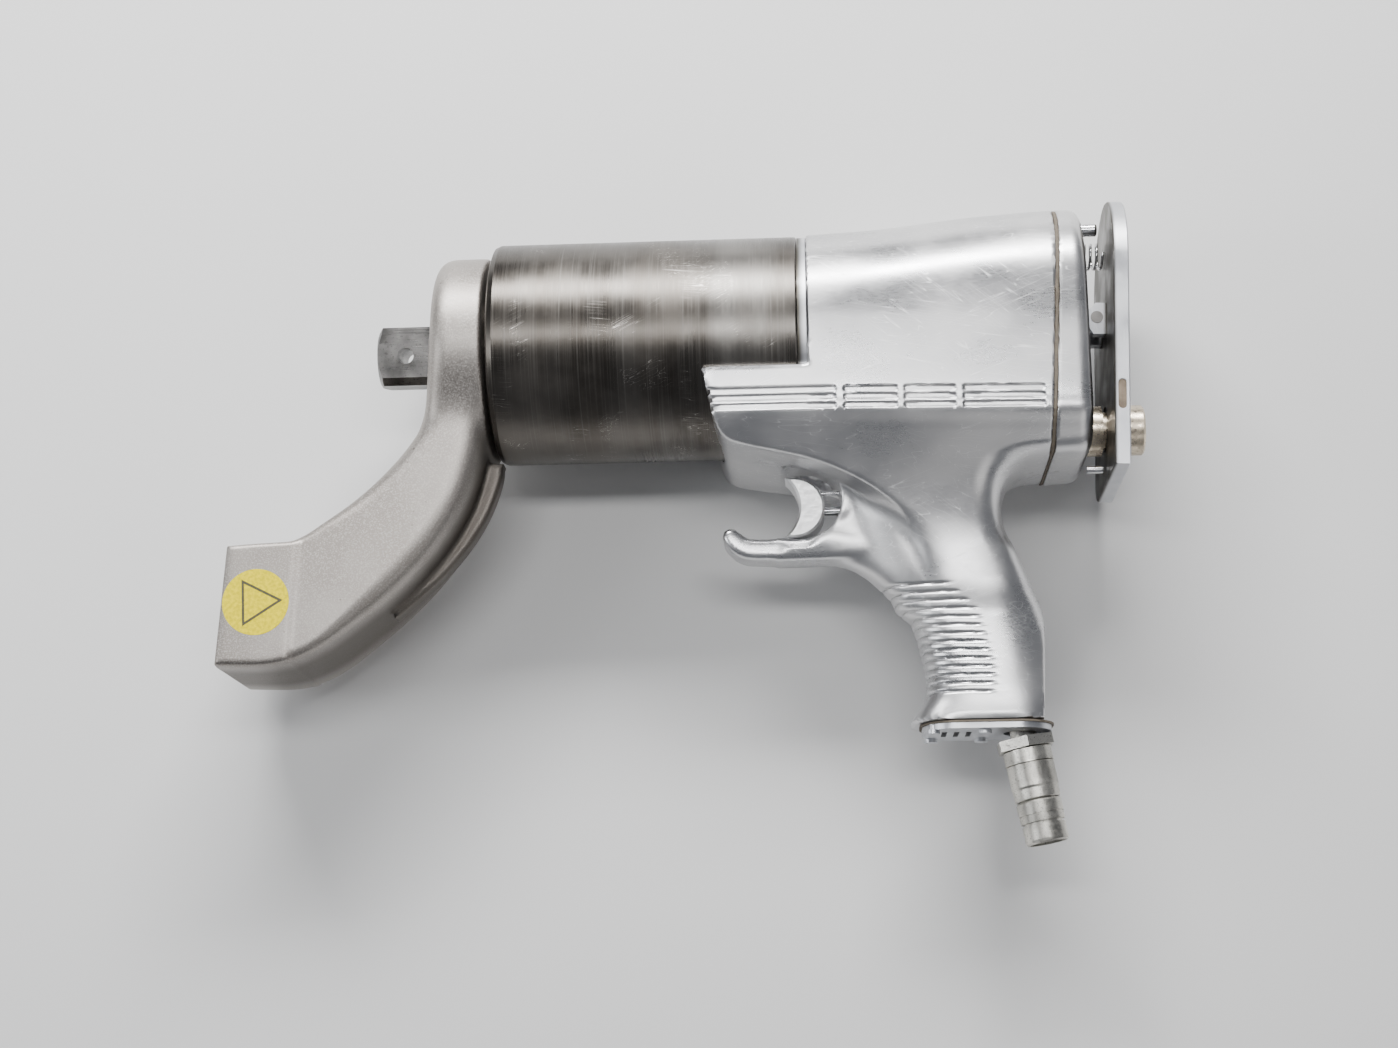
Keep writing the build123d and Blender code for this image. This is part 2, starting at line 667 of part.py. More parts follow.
rocker_top_y = 25.0
rocker_foot_y = -65.0
with BuildPart() as direction_rocker:
    with BuildSketch(Plane(origin=(rocker_face, rocker_top_y, 0), x_dir=(0, 1, 0), z_dir=(1, 0, 0))):
        Circle(rocker_half)
        with Locations((-(rocker_top_y - rocker_foot_y) / 2, 0)):
            Rectangle(rocker_top_y - rocker_foot_y, 2 * rocker_half)
        fillet(vertices().group_by(Axis.Y)[0], 9)
    extrude(amount=rocker_thickness)
    chamfer(edges().filter_by(lambda edge: edge.length > 20), 0.6)
    for side in (-1, 1):
        with BuildSketch(Plane.XY.offset(side * rocker_half)):
            with Locations((rocker_face + rocker_thickness / 2, -35)):
                SlotOverall(13, 3.6, rotation=90)
        extrude(amount=-side * 0.8, mode=Mode.SUBTRACT)
        with BuildSketch(Plane.XY.offset(side * (ear_inner + ear_outer) / 2)):
            with BuildLine():
                Polyline((rocker_face + 1, pin_y + 6.5), (pin_x - 0.5, pin_y + 6.5), (pin_x - 3.4, pin_y + 3),
                         (pin_x - 3.4, pin_y - 4), (pin_x - 1.5, pin_y - 7.5), (rocker_face + 1, pin_y - 7.5),
                         close=True)
            make_face()
        extrude(amount=(ear_outer - ear_inner) / 2, both=True)
    with BuildSketch(Plane.XY.offset(-20)):
        with Locations(rocker_pin):
            Circle(rocker_pin_r)
    extrude(amount=40, mode=Mode.SUBTRACT)
    drilled(rocker_face - 1, rocker_face + rocker_thickness + 1, plunger_y + 1, 0, 9.6)
lean = Location((pin_x, pin_y, 0)) * Location((0, 0, 0), (0, 0, rocker_lean)) * Location((-pin_x, -pin_y, 0))
direction_rocker.part = direction_rocker.part.moved(lean)
save(direction_rocker, "direction_rocker")

with BuildPart() as rocker_pivot_pin:
    with BuildSketch(Plane.XY.offset(-ear_outer - 0.4)):
        with Locations(rocker_pin):
            Circle(rocker_pin_r)
    extrude(amount=2 * (ear_outer + 0.4))
save(rocker_pivot_pin, "rocker_pivot_pin")

neck_start = 298.2
neck_end = 308.0
neck_r = 8.0
knob_end = 316.0
ring_groove_width = 2.4
with BuildPart() as reversing_plunger:
    rod(264, neck_start, plunger_y, 0, plunger_r)
    rod(neck_start, neck_end, plunger_y, 0, neck_r)
    rod(neck_end, knob_end, plunger_y, 0, plunger_r)
    chamfer(faces().sort_by(Axis.X)[-1].edges(), 0.8)
    for start in (268.0, 281.0):
        end = start + ring_groove_width
        turned([(start, plunger_y + plunger_r - 1.6), (end, plunger_y + plunger_r - 1.6),
                (end, plunger_y + plunger_r + 1), (start, plunger_y + plunger_r + 1)],
               axis=Axis((0, plunger_y, 0), (1, 0, 0)), mode=Mode.SUBTRACT)
save(reversing_plunger, "reversing_plunger")

with BuildPart() as rocker_spring:
    spring_wire((cover_back + 0.7, spring_y, 0), (1, 0, 0), 10.4, 5.4, 0.6, 4)
save(rocker_spring, "rocker_spring")

with BuildPart() as rocker_stop:
    rod(cover_back, 300, 47, 9, 2.8)
    fillet(faces().sort_by(Axis.X)[-1].edges(), 1.2)
save(rocker_stop, "rocker_stop")

with BuildPart() as rocker_stop_screw:
    rod(cover_back, 298.2, -58, 0, 1.6)
save(rocker_stop_screw, "rocker_stop_screw")

# ---------------------------------------------------------------- grip end
end_outline = (grip_levels[grip_bottom][0] + 4, grip_levels[grip_bottom][1] - 1.0, 19.0)
end_screws = [(222, 12.5), (222, -12.5), (243, 12.5), (243, -12.5)]


def end_slab(y_from, y_to, outline):
    """A slab across the grip end with the screw holes and the two air openings."""
    section = level_section(y_from, *outline)
    extrude(section, amount=y_from - y_to)
    for x, z in end_screws:
        upright(y_from + 1, y_to - 1, x, z, 1.7, mode=Mode.SUBTRACT)


with BuildPart() as grip_gasket:
    end_slab(grip_bottom, grip_bottom - 0.8, end_outline)
    upright(grip_bottom + 1, grip_bottom - 2, silencer_x, 0, silencer_r + 0.2, mode=Mode.SUBTRACT)
    upright(grip_bottom + 1, grip_bottom - 2, inlet_x, 0, 8, mode=Mode.SUBTRACT)
save(grip_gasket, "grip_gasket")

with BuildPart() as grip_end_plate:
    end_slab(grip_bottom - 0.8, inlet_base_y, (end_outline[0] + 1, end_outline[1] - 1, 18.2))
    upright(grip_bottom + 1, grip_bottom - 4, inlet_x, 0, 8, mode=Mode.SUBTRACT)
    for x in (silencer_x - 5, silencer_x, silencer_x + 5):
        with BuildSketch(Plane(origin=(x, grip_bottom, 0), x_dir=(1, 0, 0), z_dir=(0, -1, 0))):
            SlotOverall(14, 2.2, rotation=90)
        extrude(amount=5, mode=Mode.SUBTRACT)
save(grip_end_plate, "grip_end_plate")

with BuildPart() as grip_screws:
    for x, z in end_screws:
        upright(grip_bottom - 0.1, inlet_base_y, x, z, 1.6)
        upright(inlet_base_y, inlet_base_y - 1.6, x, z, 2.8)
save(grip_screws, "grip_screws")

with BuildPart() as exhaust_silencer:
    upright(silencer_top, grip_bottom, silencer_x, 0, silencer_r)
save(exhaust_silencer, "exhaust_silencer")

# ---------------------------------------------------------------- air coupler
hex_span = (2.5, 6.8)
collar_end = 12.8
body_end_s = 28.0
sleeve_start = 28.6
mouth = 46.0
plug_bore_r = 5.3
inner_body_r = 7.4

with BuildPart() as inlet_adapter:
    along([(-9, 0), (-9, 5.3), (hex_span[1], 5.3), (hex_span[1], 8.6), (7.2, 9.9),
           (collar_end, 10.1), (collar_end, 0)])
    with BuildSketch(Plane(origin=coupler_base + coupler_dir * hex_span[0], x_dir=(0, 0, 1),
                           z_dir=coupler_dir)):
        RegularPolygon(11, 6, major_radius=False)
    extrude(amount=hex_span[1] - hex_span[0])
    along([(-10, 0), (-10, 3.2), (9, 3.2), (9, 5), (collar_end + 1, 5), (collar_end + 1, 0)],
          mode=Mode.SUBTRACT)
save(inlet_adapter, "inlet_adapter")

ball_s = 38.0
locking_ball_r = 1.0
locking_ball_count = 4
with BuildPart() as coupler_body:
    along([(collar_end - 3.6, 0), (collar_end - 3.6, 4.9), (collar_end, 4.9), (collar_end, 9.4),
           (collar_end + 0.4, 9.8), (22.5, 9.8), (23.5, 9.5), (body_end_s - 0.4, 9.5),
           (body_end_s, 9.1), (body_end_s, inner_body_r), (mouth - 1.2, inner_body_r),
           (mouth - 1.2, 0)])
    along([(collar_end - 4, 0), (collar_end - 4, 3), (16, 3), (16, 6), (29, 6), (30.5, plug_bore_r),
           (mouth, plug_bore_r), (mouth, 0)], mode=Mode.SUBTRACT)
    ball_centre = coupler_base + coupler_dir * ball_s
    for turn in range(locking_ball_count):
        spoke = Vector(0, 0, 1).rotate(Axis((0, 0, 0), coupler_dir), 45 + 90 * turn)
        with BuildSketch(Plane(origin=ball_centre + spoke * 4, z_dir=spoke)):
            Circle(locking_ball_r + FIT)
        extrude(amount=5, mode=Mode.SUBTRACT)
save(coupler_body, "coupler_body")

with BuildPart() as locking_balls:
    for turn in range(locking_ball_count):
        spoke = Vector(0, 0, 1).rotate(Axis((0, 0, 0), coupler_dir), 45 + 90 * turn)
        with Locations(ball_centre + spoke * (plug_bore_r + locking_ball_r + 0.02)):
            Sphere(locking_ball_r)
save(locking_balls, "locking_balls")

with BuildPart() as coupler_sleeve:
    along([(sleeve_start, inner_body_r + FIT), (mouth, inner_body_r + FIT), (mouth, 8.2),
           (mouth - 0.6, 8.8), (mouth - 1.6, 8.9), (38.4, 8.9), (38.4, 8.1), (37.2, 8.1),
           (37.2, 9.1), (34.4, 9.2), (34.4, 8.7), (33.9, 8.7), (33.9, 9.3), (29.2, 9.4),
           (sleeve_start, 8.9)])
save(coupler_sleeve, "coupler_sleeve")

with BuildPart() as coupler_valve:
    along([(22, 0), (22, 2.4), (27, 2.4), (27, 5.6), (28.6, 5.6), (30.1, 4.6), (30.1, 0)])
save(coupler_valve, "coupler_valve")

with BuildPart() as coupler_spring:
    spring_wire(coupler_base + coupler_dir * 16.8, coupler_dir, 9.4, 4.3, 0.45, 4)
save(coupler_spring, "coupler_spring")
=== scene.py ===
"""Looks of the pneumatic torque wrench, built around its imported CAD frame.

Metres in Blender. The fields that shape the castings work in millimetres, in the same
frame: +X from the square drive to the rear, +Y the tool's top, +Z its left side, up.
"""
import json
import math

import bpy
import numpy as np
from mathutils import Matrix, Vector


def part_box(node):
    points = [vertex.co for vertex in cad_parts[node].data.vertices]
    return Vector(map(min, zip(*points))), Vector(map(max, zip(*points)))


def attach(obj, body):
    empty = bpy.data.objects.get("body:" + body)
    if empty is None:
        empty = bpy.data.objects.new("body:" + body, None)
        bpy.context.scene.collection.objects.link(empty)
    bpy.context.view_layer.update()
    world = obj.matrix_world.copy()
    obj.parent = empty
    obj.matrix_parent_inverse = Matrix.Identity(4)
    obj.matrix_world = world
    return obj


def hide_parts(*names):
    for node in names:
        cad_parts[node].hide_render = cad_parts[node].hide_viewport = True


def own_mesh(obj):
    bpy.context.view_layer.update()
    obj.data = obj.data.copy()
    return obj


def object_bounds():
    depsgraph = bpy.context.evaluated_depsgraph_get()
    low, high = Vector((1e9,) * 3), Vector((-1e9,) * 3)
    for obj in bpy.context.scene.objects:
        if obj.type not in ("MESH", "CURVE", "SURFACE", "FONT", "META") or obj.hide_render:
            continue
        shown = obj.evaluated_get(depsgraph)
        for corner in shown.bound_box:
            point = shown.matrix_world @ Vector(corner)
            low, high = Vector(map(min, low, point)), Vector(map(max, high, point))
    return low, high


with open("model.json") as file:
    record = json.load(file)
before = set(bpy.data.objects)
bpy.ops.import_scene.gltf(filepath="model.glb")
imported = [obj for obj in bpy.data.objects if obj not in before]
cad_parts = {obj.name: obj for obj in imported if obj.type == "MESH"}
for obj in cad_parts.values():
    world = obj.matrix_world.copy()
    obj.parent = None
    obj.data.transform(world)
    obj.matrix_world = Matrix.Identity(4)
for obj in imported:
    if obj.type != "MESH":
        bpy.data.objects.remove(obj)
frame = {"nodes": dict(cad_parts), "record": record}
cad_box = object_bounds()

MM = 0.001
SHARP_ANGLE = math.radians(40)   # edges sharper than this stay creased
nodes = frame["nodes"]


# ------------------------------------------------------------------ field helpers
def smin(a, b, k):
    """Smooth union of two fields with a blend about k wide."""
    h = np.maximum(k - np.abs(a - b), 0.0) / k
    return np.minimum(a, b) - h * h * k * 0.25


def smax(a, b, k):
    """Smooth intersection of two fields with a rounding about k wide."""
    h = np.maximum(k - np.abs(a - b), 0.0) / k
    return np.maximum(a, b) + h * h * k * 0.25


def step_up(value, low, high):
    """0 below low, 1 above high, smooth between."""
    t = np.clip((value - low) / (high - low), 0.0, 1.0)
    return t * t * (3 - 2 * t)


def curve(t, knots):
    """Smooth curve through (t, value) knots, flat beyond the ends."""
    places, values = np.array(sorted(knots), float).T
    slopes = np.gradient(values, places)
    t = np.clip(t, places[0], places[-1])
    i = np.clip(np.searchsorted(places, t, side="right") - 1, 0, len(places) - 2)
    width = places[i + 1] - places[i]
    u = (t - places[i]) / width
    return ((1 + 2 * u) * (1 - u) ** 2 * values[i] + u * (1 - u) ** 2 * width * slopes[i]
            + u * u * (3 - 2 * u) * values[i + 1] + u * u * (u - 1) * width * slopes[i + 1])


def rounded_path(points, per_span=6):
    """A closed outline with smooth spans; a point given twice stays a corner."""
    out = []
    count = len(points)
    for i in range(count):
        p0, p1, p2, p3 = (np.array(points[(i + k) % count], float) for k in (-1, 0, 1, 2))
        if np.allclose(p1, p2):
            continue
        if np.allclose(p0, p1):
            p0 = p1 - (p2 - p1)
        if np.allclose(p2, p3):
            p3 = p2 + (p2 - p1)
        for u in np.arange(per_span) / per_span:
            out.append(0.5 * (2 * p1 + (p2 - p0) * u + (2 * p0 - 5 * p1 + 4 * p2 - p3) * u * u
                              + (3 * p1 - p0 - 3 * p2 + p3) * u ** 3))
    return np.array(out)


def outline_distance(x, y, outline):
    """Signed distance to a closed outline, negative inside."""
    best = None
    crossings = None     # true where an odd number of edges lies to one side: inside
    for a, b in zip(outline, np.roll(outline, -1, axis=0)):
        ex, ey = b - a
        wx, wy = x - a[0], y - a[1]
        t = np.clip((wx * ex + wy * ey) / (ex * ex + ey * ey + 1e-12), 0, 1)
        d = (wx - ex * t) ** 2 + (wy - ey * t) ** 2
        best = d if best is None else np.minimum(best, d)
        over = (a[1] > y) != (b[1] > y)
        hit = over & (wx < ex * wy / (ey if abs(ey) > 1e-9 else 1e-9))
        crossings = hit if crossings is None else crossings ^ hit
    return np.sqrt(best) * np.where(crossings, -1.0, 1.0)


def spread(start, end, step, fine=()):
    """Grid places from start to end, closer together in each (low, high, step) of fine."""
    places = [start]
    while places[-1] < end:
        at = places[-1]
        gap = min([s for low, high, s in fine if low <= at <= high], default=step)
        places.append(at + gap)
    return np.array(places)


def net(field, xs, ys, zs):
    """Vertices and quads of the zero surface of field(x, y, z), by surface nets."""
    values = np.ascontiguousarray(field(xs[:, None, None], ys[None, :, None], zs[None, None, :]))
    values = np.broadcast_to(values, (len(xs), len(ys), len(zs)))
    inside = values < 0
    count = np.zeros([n - 1 for n in inside.shape], np.int8)
    nx, ny, nz = count.shape
    for dx in (0, 1):
        for dy in (0, 1):
            for dz in (0, 1):
                count += inside[dx:dx + nx, dy:dy + ny, dz:dz + nz]
    cells = np.argwhere((count > 0) & (count < 8))
    index = -np.ones(count.shape, np.int64)
    index[tuple(cells.T)] = np.arange(len(cells))

    # one point per crossed cell: the mean of the crossings on its twelve edges
    total = np.zeros((len(cells), 3))
    hits = np.zeros(len(cells))
    places = (xs, ys, zs)
    for axis in range(3):
        u, v = [a for a in range(3) if a != axis]
        for du in (0, 1):
            for dv in (0, 1):
                low = cells.copy()
                low[:, u] += du
                low[:, v] += dv
                high = low.copy()
                high[:, axis] += 1
                a = values[tuple(low.T)]
                b = values[tuple(high.T)]
                cross = (a < 0) != (b < 0)
                t = a / np.where(cross, a - b, 1.0)
                point = np.stack([places[k][low[:, k]] for k in range(3)], 1)
                far = places[axis][high[:, axis]]
                point[:, axis] += (far - point[:, axis]) * t
                total += point * cross[:, None]
                hits += cross
    points = total / hits[:, None]

    # one quad per crossed grid edge, joining the four cells around it
    quads = []
    for axis in range(3):
        u, v = [a for a in range(3) if a != axis]
        low = [slice(None)] * 3
        high = [slice(None)] * 3
        low[axis] = slice(0, -1)
        high[axis] = slice(1, None)
        edges = np.argwhere(inside[tuple(low)] != inside[tuple(high)])
        edges = edges[(edges[:, u] > 0) & (edges[:, v] > 0)]
        edges = edges[(edges[:, u] < index.shape[u]) & (edges[:, v] < index.shape[v])]
        ring = []
        for du, dv in ((-1, -1), (0, -1), (0, 0), (-1, 0)):
            cell = edges.copy()
            cell[:, u] += du
            cell[:, v] += dv
            ring.append(index[tuple(cell.T)])
        quad = np.stack(ring, 1)
        outward = inside[tuple(edges.T)]
        flip = outward if axis == 1 else ~outward
        quad[flip] = quad[flip][:, ::-1]
        quads.append(quad)
    return points, np.concatenate(quads)


def settle(field, points):
    """Move points onto the zero surface of field, in a few short steps along its slope."""
    probe = 0.04
    longest_step = 0.8
    for _ in range(3):
        x, y, z = points.T
        d = field(x, y, z)
        ahead = (field(x + probe, y, z), field(x, y + probe, z), field(x, y, z + probe))
        slope = np.stack([value - d for value in ahead], 1) / probe
        steepness = np.maximum((slope ** 2).sum(1), 0.05)
        move = slope * (d / steepness)[:, None]
        length = np.sqrt((move ** 2).sum(1))
        move *= np.minimum(1.0, longest_step / np.maximum(length, 1e-9))[:, None]
        points = points - move
    return points


def piece_from(name, points_mm, faces, material, body):
    """A mesh object from points in millimetres, riding on a body."""
    mesh = bpy.data.meshes.new(name)
    mesh.from_pydata((np.asarray(points_mm) * MM).tolist(), [], [list(f) for f in faces])
    mesh.validate()
    mesh.polygons.foreach_set("use_smooth", np.ones(len(mesh.polygons), bool))
    mesh.set_sharp_from_angle(angle=SHARP_ANGLE)
    mesh.materials.append(material)
    piece = bpy.data.objects.new(name, mesh)
    bpy.context.scene.collection.objects.link(piece)
    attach(piece, body)
    return piece


def cast(name, field, grid, material, body):
    """A casting shaped by a field, netted on the grid's places along X, Y and Z."""
    points, quads = net(field, *grid)
    return piece_from(name, settle(field, points), quads, material, body)


# ------------------------------------------------------------------ sizes, millimetres
housing_front = 174.0
joint_x = 277.1                  # joint face of the housing at y = 0
joint_tilt = math.radians(3.3)
gasket_thickness = 1.4
cover_back = 291.5
gearbox_r = 48.0
cradle_gap = 0.45                # between the housing's nose and the gearbox
spigot_r = 38.05
spigot_span = (100, 187)
motor_r = 34.0
motor_span = (186, 258)
plunger_y = -41.0
plunger_bore = 10.8
valve_y = -73.5
valve_bore = 6.5
valve_room = 7.0
guide_y = -65.7
guide_bore = 1.3
air_way = 5.5
inlet_bore = 5.6
silencer_x = 232
silencer_bore = 8.0
recess_x, recess_y, recess_r = 170.5, -70.7, 16.5
recess_half = 13.0               # the trigger's recess stays between the flanks
recess_rim = 3.4
rim_half = 11.6
web_half = 10.8
guard_half = 8.8
grip_end = -167.0
inlet_x, inlet_base_y = 259.5, -170.2
inlet_lean = math.radians(10.4)
rocker_pin = (298.0, 7.0)
rocker_lean = math.radians(-2.5)
pocket_centre = (305.25, -35.0)  # before the rocker leans
pocket_r = 1.7
pocket_reach = 4.7               # from the pocket's centre to its round ends' centres
pocket_floor = (35.15, 35.35)


# ------------------------------------------------------------------ materials
def rgb(value):
    """A grey level or an (r, g, b) colour as a node colour."""
    return (value, value, value, 1.0) if isinstance(value, (int, float)) else (*value, 1.0)


class Paint:
    """A node material with a principled shader and short calls for its textures."""

    def __init__(self, name, color, roughness, metallic=1.0):
        self.material = bpy.data.materials.new(name)
        self.material.use_nodes = True
        self.tree = self.material.node_tree
        self.shader = self.tree.nodes["Principled BSDF"]
        self.shader.inputs["Base Color"].default_value = rgb(color)
        self.shader.inputs["Metallic"].default_value = metallic
        self.shader.inputs["Roughness"].default_value = roughness
        self.place = self.add("ShaderNodeTexCoord").outputs["Object"]

    def add(self, kind, **settings):
        """A new node with its settings."""
        node = self.tree.nodes.new(kind)
        for key, value in settings.items():
            setattr(node, key, value)
        return node

    def join(self, a, b):
        self.tree.links.new(a, b)

    def put(self, socket, value):
        """Set a socket to a number or a colour, or link an output to it."""
        if isinstance(value, (int, float, tuple)):
            socket.default_value = value
        else:
            self.join(value, socket)

    def stretched(self, scale, turn=(0, 0, 0)):
        """Object coordinates turned, then scaled."""
        first = self.add("ShaderNodeMapping")
        first.inputs["Rotation"].default_value = tuple(math.radians(a) for a in turn)
        self.join(self.place, first.inputs["Vector"])
        second = self.add("ShaderNodeMapping")
        second.inputs["Scale"].default_value = scale
        self.join(first.outputs["Vector"], second.inputs["Vector"])
        return second.outputs["Vector"]

    def noise(self, scale, turn=(0, 0, 0), detail=3.0, roughness=0.5):
        """Noise of scale cycles per metre along each turned axis."""
        node = self.add("ShaderNodeTexNoise")
        node.inputs["Scale"].default_value = 1.0
        node.inputs["Detail"].default_value = detail
        node.inputs["Roughness"].default_value = roughness
        self.join(self.stretched(scale, turn), node.inputs["Vector"])
        return node.outputs["Fac"]

    def along(self, axis):
        """The object coordinate along one axis."""
        node = self.add("ShaderNodeSeparateXYZ")
        self.join(self.place, node.inputs[0])
        return node.outputs[axis]

    def cells(self, scale):
        """Distance to the nearest of many scattered points."""
        node = self.add("ShaderNodeTexVoronoi", feature="F1")
        node.inputs["Scale"].default_value = 1.0
        self.join(self.stretched(scale), node.inputs["Vector"])
        return node.outputs["Distance"]

    def ramp(self, value, low, high, out_low=0.0, out_high=1.0):
        """value from low to high turned smoothly into out_low to out_high."""
        node = self.add("ShaderNodeMapRange", interpolation_type="SMOOTHSTEP")
        self.put(node.inputs["Value"], value)
        limits = {"From Min": low, "From Max": high, "To Min": out_low, "To Max": out_high}
        for key, number in limits.items():
            node.inputs[key].default_value = number
        return node.outputs["Result"]

    def math(self, operation, a, b=0.0):
        node = self.add("ShaderNodeMath", operation=operation)
        self.put(node.inputs[0], a)
        self.put(node.inputs[1], b)
        return node.outputs[0]

    def times(self, a, b):
        return self.math("MULTIPLY", a, b)

    def line(self, value, middle, width):
        """1 where value is at middle, fading to 0 at width away from it."""
        away = self.math("ABSOLUTE", self.math("SUBTRACT", value, middle))
        return self.ramp(away, 0.0, width, 1.0, 0.0)

    def mix(self, amount, a, b):
        """Colour a where amount is 0 and colour b where it is 1."""
        node = self.add("ShaderNodeMix", data_type="RGBA")
        self.put(node.inputs[0], amount)
        for socket, tint in zip((node.inputs[6], node.inputs[7]), (a, b)):
            self.put(socket, tint if hasattr(tint, "links") else rgb(tint))
        return node.outputs[2]

    def color(self, value):
        self.join(value, self.shader.inputs["Base Color"])

    def rough(self, value):
        self.join(value, self.shader.inputs["Roughness"])

    def bump(self, height, depth, strength):
        """Relief of a depth in metres, on top of any relief added before."""
        node = self.add("ShaderNodeBump")
        node.inputs["Strength"].default_value = strength
        node.inputs["Distance"].default_value = depth
        self.join(height, node.inputs["Height"])
        if self.shader.inputs["Normal"].is_linked:
            self.join(self.shader.inputs["Normal"].links[0].from_socket, node.inputs["Normal"])
        self.join(node.outputs["Normal"], self.shader.inputs["Normal"])

    def hollow(self, low, high):
        """1 in grooves and inner corners."""
        pointiness = self.add("ShaderNodeNewGeometry").outputs["Pointiness"]
        return self.ramp(pointiness, low, high, 1.0, 0.0)

    def scratches(self, turns, keep, length=11.0, across=700.0, width=0.02):
        """Fine straight scratches in several directions, only where a slow noise allows."""
        total = None
        for k, turn in enumerate(turns):
            strand = self.noise((length, across, across), turn=turn, detail=0.0)
            mark = self.line(strand, 0.5, width)
            where = self.ramp(self.noise((38 + 7 * k,) * 3, turn=(k * 40, k * 25, 0), detail=2), *keep)
            mark = self.times(mark, where)
            total = mark if total is None else self.math("MAXIMUM", total, mark)
        return total


def polished_aluminium():
    """The castings: worn bright, with straight scratches, and grooves and inner corners darkened by
    soiling and by painted shade.
    """
    paint = Paint("polished_aluminium", 0.8, 0.25)
    cloud = paint.noise((28, 34, 30), detail=4)
    grain = paint.noise((300, 1500, 1500), detail=2)
    turns = [(0, 0, 8), (0, 0, -22), (0, 0, 40)]
    marks = paint.scratches(turns, (0.48, 0.56), length=9, across=420, width=0.012)
    # soiling and painted shade: darker in grooves and inner corners
    grime_and_shade = paint.hollow(0.37, 0.46)
    tone = paint.mix(paint.ramp(cloud, 0.35, 0.7), (0.60, 0.60, 0.61), (0.74, 0.735, 0.735))
    tone = paint.mix(paint.times(marks, 0.7), tone, (0.97, 0.97, 0.97))
    tone = paint.mix(paint.times(grime_and_shade, 0.85), tone, (0.11, 0.10, 0.085))
    paint.color(tone)
    matt = paint.math("ADD", paint.ramp(cloud, 0.3, 0.75, 0.27, 0.38), paint.times(marks, 0.1))
    paint.rough(paint.math("ADD", matt, paint.ramp(grain, 0.3, 0.7, -0.02, 0.02)))
    return paint.material


def satin_plate(name, shaded_face=None):
    """Milled aluminium; the optional face argument is (offset, lean, depth) of a face darkened with
    painted shade.
    """
    paint = Paint(name, 0.6, 0.38)
    cloud = paint.noise((60, 60, 60), detail=4)
    marks = paint.scratches([(0, 0, 80), (0, 20, 95)], (0.5, 0.6))
    tone = paint.mix(paint.ramp(cloud, 0.3, 0.7), (0.56, 0.57, 0.60), (0.70, 0.71, 0.73))
    tone = paint.mix(paint.times(marks, 0.4), tone, 0.9)
    # painted shade: a dark band along a face that lies in shadow
    if shaded_face:
        offset, lean, depth = shaded_face
        across = paint.math("SUBTRACT", paint.along("X"), paint.times(paint.along("Y"), lean))
        patchy = paint.ramp(cloud, 0.2, 0.6, 0.75, 1.0)
        shade_band = paint.times(paint.line(across, offset, depth), patchy)
        tone = paint.mix(shade_band, tone, (0.075, 0.068, 0.055))
    paint.color(tone)
    paint.rough(paint.ramp(cloud, 0.3, 0.7, 0.32, 0.46))
    paint.bump(paint.noise((600, 600, 600), detail=2), 0.00003, 0.5)
    return paint.material


def blasted_steel():
    """The reaction arm: blasted warm grey with pits, soiling and painted shade in its hollows, and
    painted shade on its lower sides between its flanks.
    """
    paint = Paint("blasted_steel", 0.45, 0.46)
    cloud = paint.noise((22, 22, 22), detail=5)
    speck = paint.noise((1500, 1500, 1500), detail=2, roughness=0.7)
    pits = paint.ramp(paint.cells((240, 240, 240)), 0.0, 0.18, 1.0, 0.0)
    pits = paint.times(pits, paint.ramp(paint.noise((45, 45, 45), detail=2), 0.5, 0.62))
    tone = paint.mix(paint.ramp(cloud, 0.3, 0.7), (0.30, 0.272, 0.248), (0.40, 0.372, 0.345))
    tone = paint.mix(paint.ramp(speck, 0.45, 0.7), tone, (0.52, 0.49, 0.46))
    tone = paint.mix(paint.times(pits, 0.8), tone, (0.10, 0.085, 0.07))
    # soiling and painted shade: darker in hollows and inner corners
    tone = paint.mix(paint.times(paint.hollow(0.38, 0.485), 0.8), tone, (0.07, 0.06, 0.05))
    # painted shade: darker on the lower sides near the middle plane, which lie in shadow
    inward = paint.ramp(paint.math("ABSOLUTE", paint.along("Z")), 0.010, 0.027, 1.0, 0.0)
    painted_side_shade = paint.times(inward, paint.ramp(paint.along("Y"), -0.055, -0.030, 0.75, 0.0))
    tone = paint.mix(painted_side_shade, tone, (0.10, 0.088, 0.075))
    paint.color(tone)
    paint.rough(paint.ramp(speck, 0.3, 0.7, 0.40, 0.56))
    paint.bump(speck, 0.00005, 0.7)
    paint.bump(paint.noise((160, 160, 160), detail=4), 0.00012, 0.6)
    return paint.material


def blackened_steel():
    """The gearbox: blackened, turned around X, and worn brighter towards the rear."""
    paint = Paint("blackened_steel", 0.08, 0.34)
    turned = paint.noise((2600, 10, 10), detail=3, roughness=0.6)
    bands = paint.noise((60, 8, 8), detail=4)
    cloud = paint.noise((30, 26, 26), detail=5)
    marks = paint.scratches([(0, 0, 6), (0, 0, -28)], (0.6, 0.66), length=7, across=900, width=0.014)
    tone = paint.mix(paint.ramp(cloud, 0.35, 0.68), (0.060, 0.053, 0.046), (0.135, 0.122, 0.108))
    worn = paint.ramp(paint.along("X"), 0.045, 0.16, 0.15, 0.75)
    tone = paint.mix(paint.times(worn, paint.ramp(bands, 0.3, 0.7)), tone, (0.24, 0.23, 0.215))
    tone = paint.mix(paint.ramp(turned, 0.5, 0.8, 0.0, 0.4), tone, (0.26, 0.25, 0.235))
    tone = paint.mix(paint.times(marks, 0.8), tone, (0.55, 0.52, 0.48))
    paint.color(tone)
    matt = paint.ramp(cloud, 0.3, 0.7, 0.24, 0.36)
    paint.rough(paint.math("ADD", matt, paint.ramp(turned, 0.3, 0.7, 0, 0.08)))
    paint.bump(turned, 0.00002, 0.5)
    return paint.material


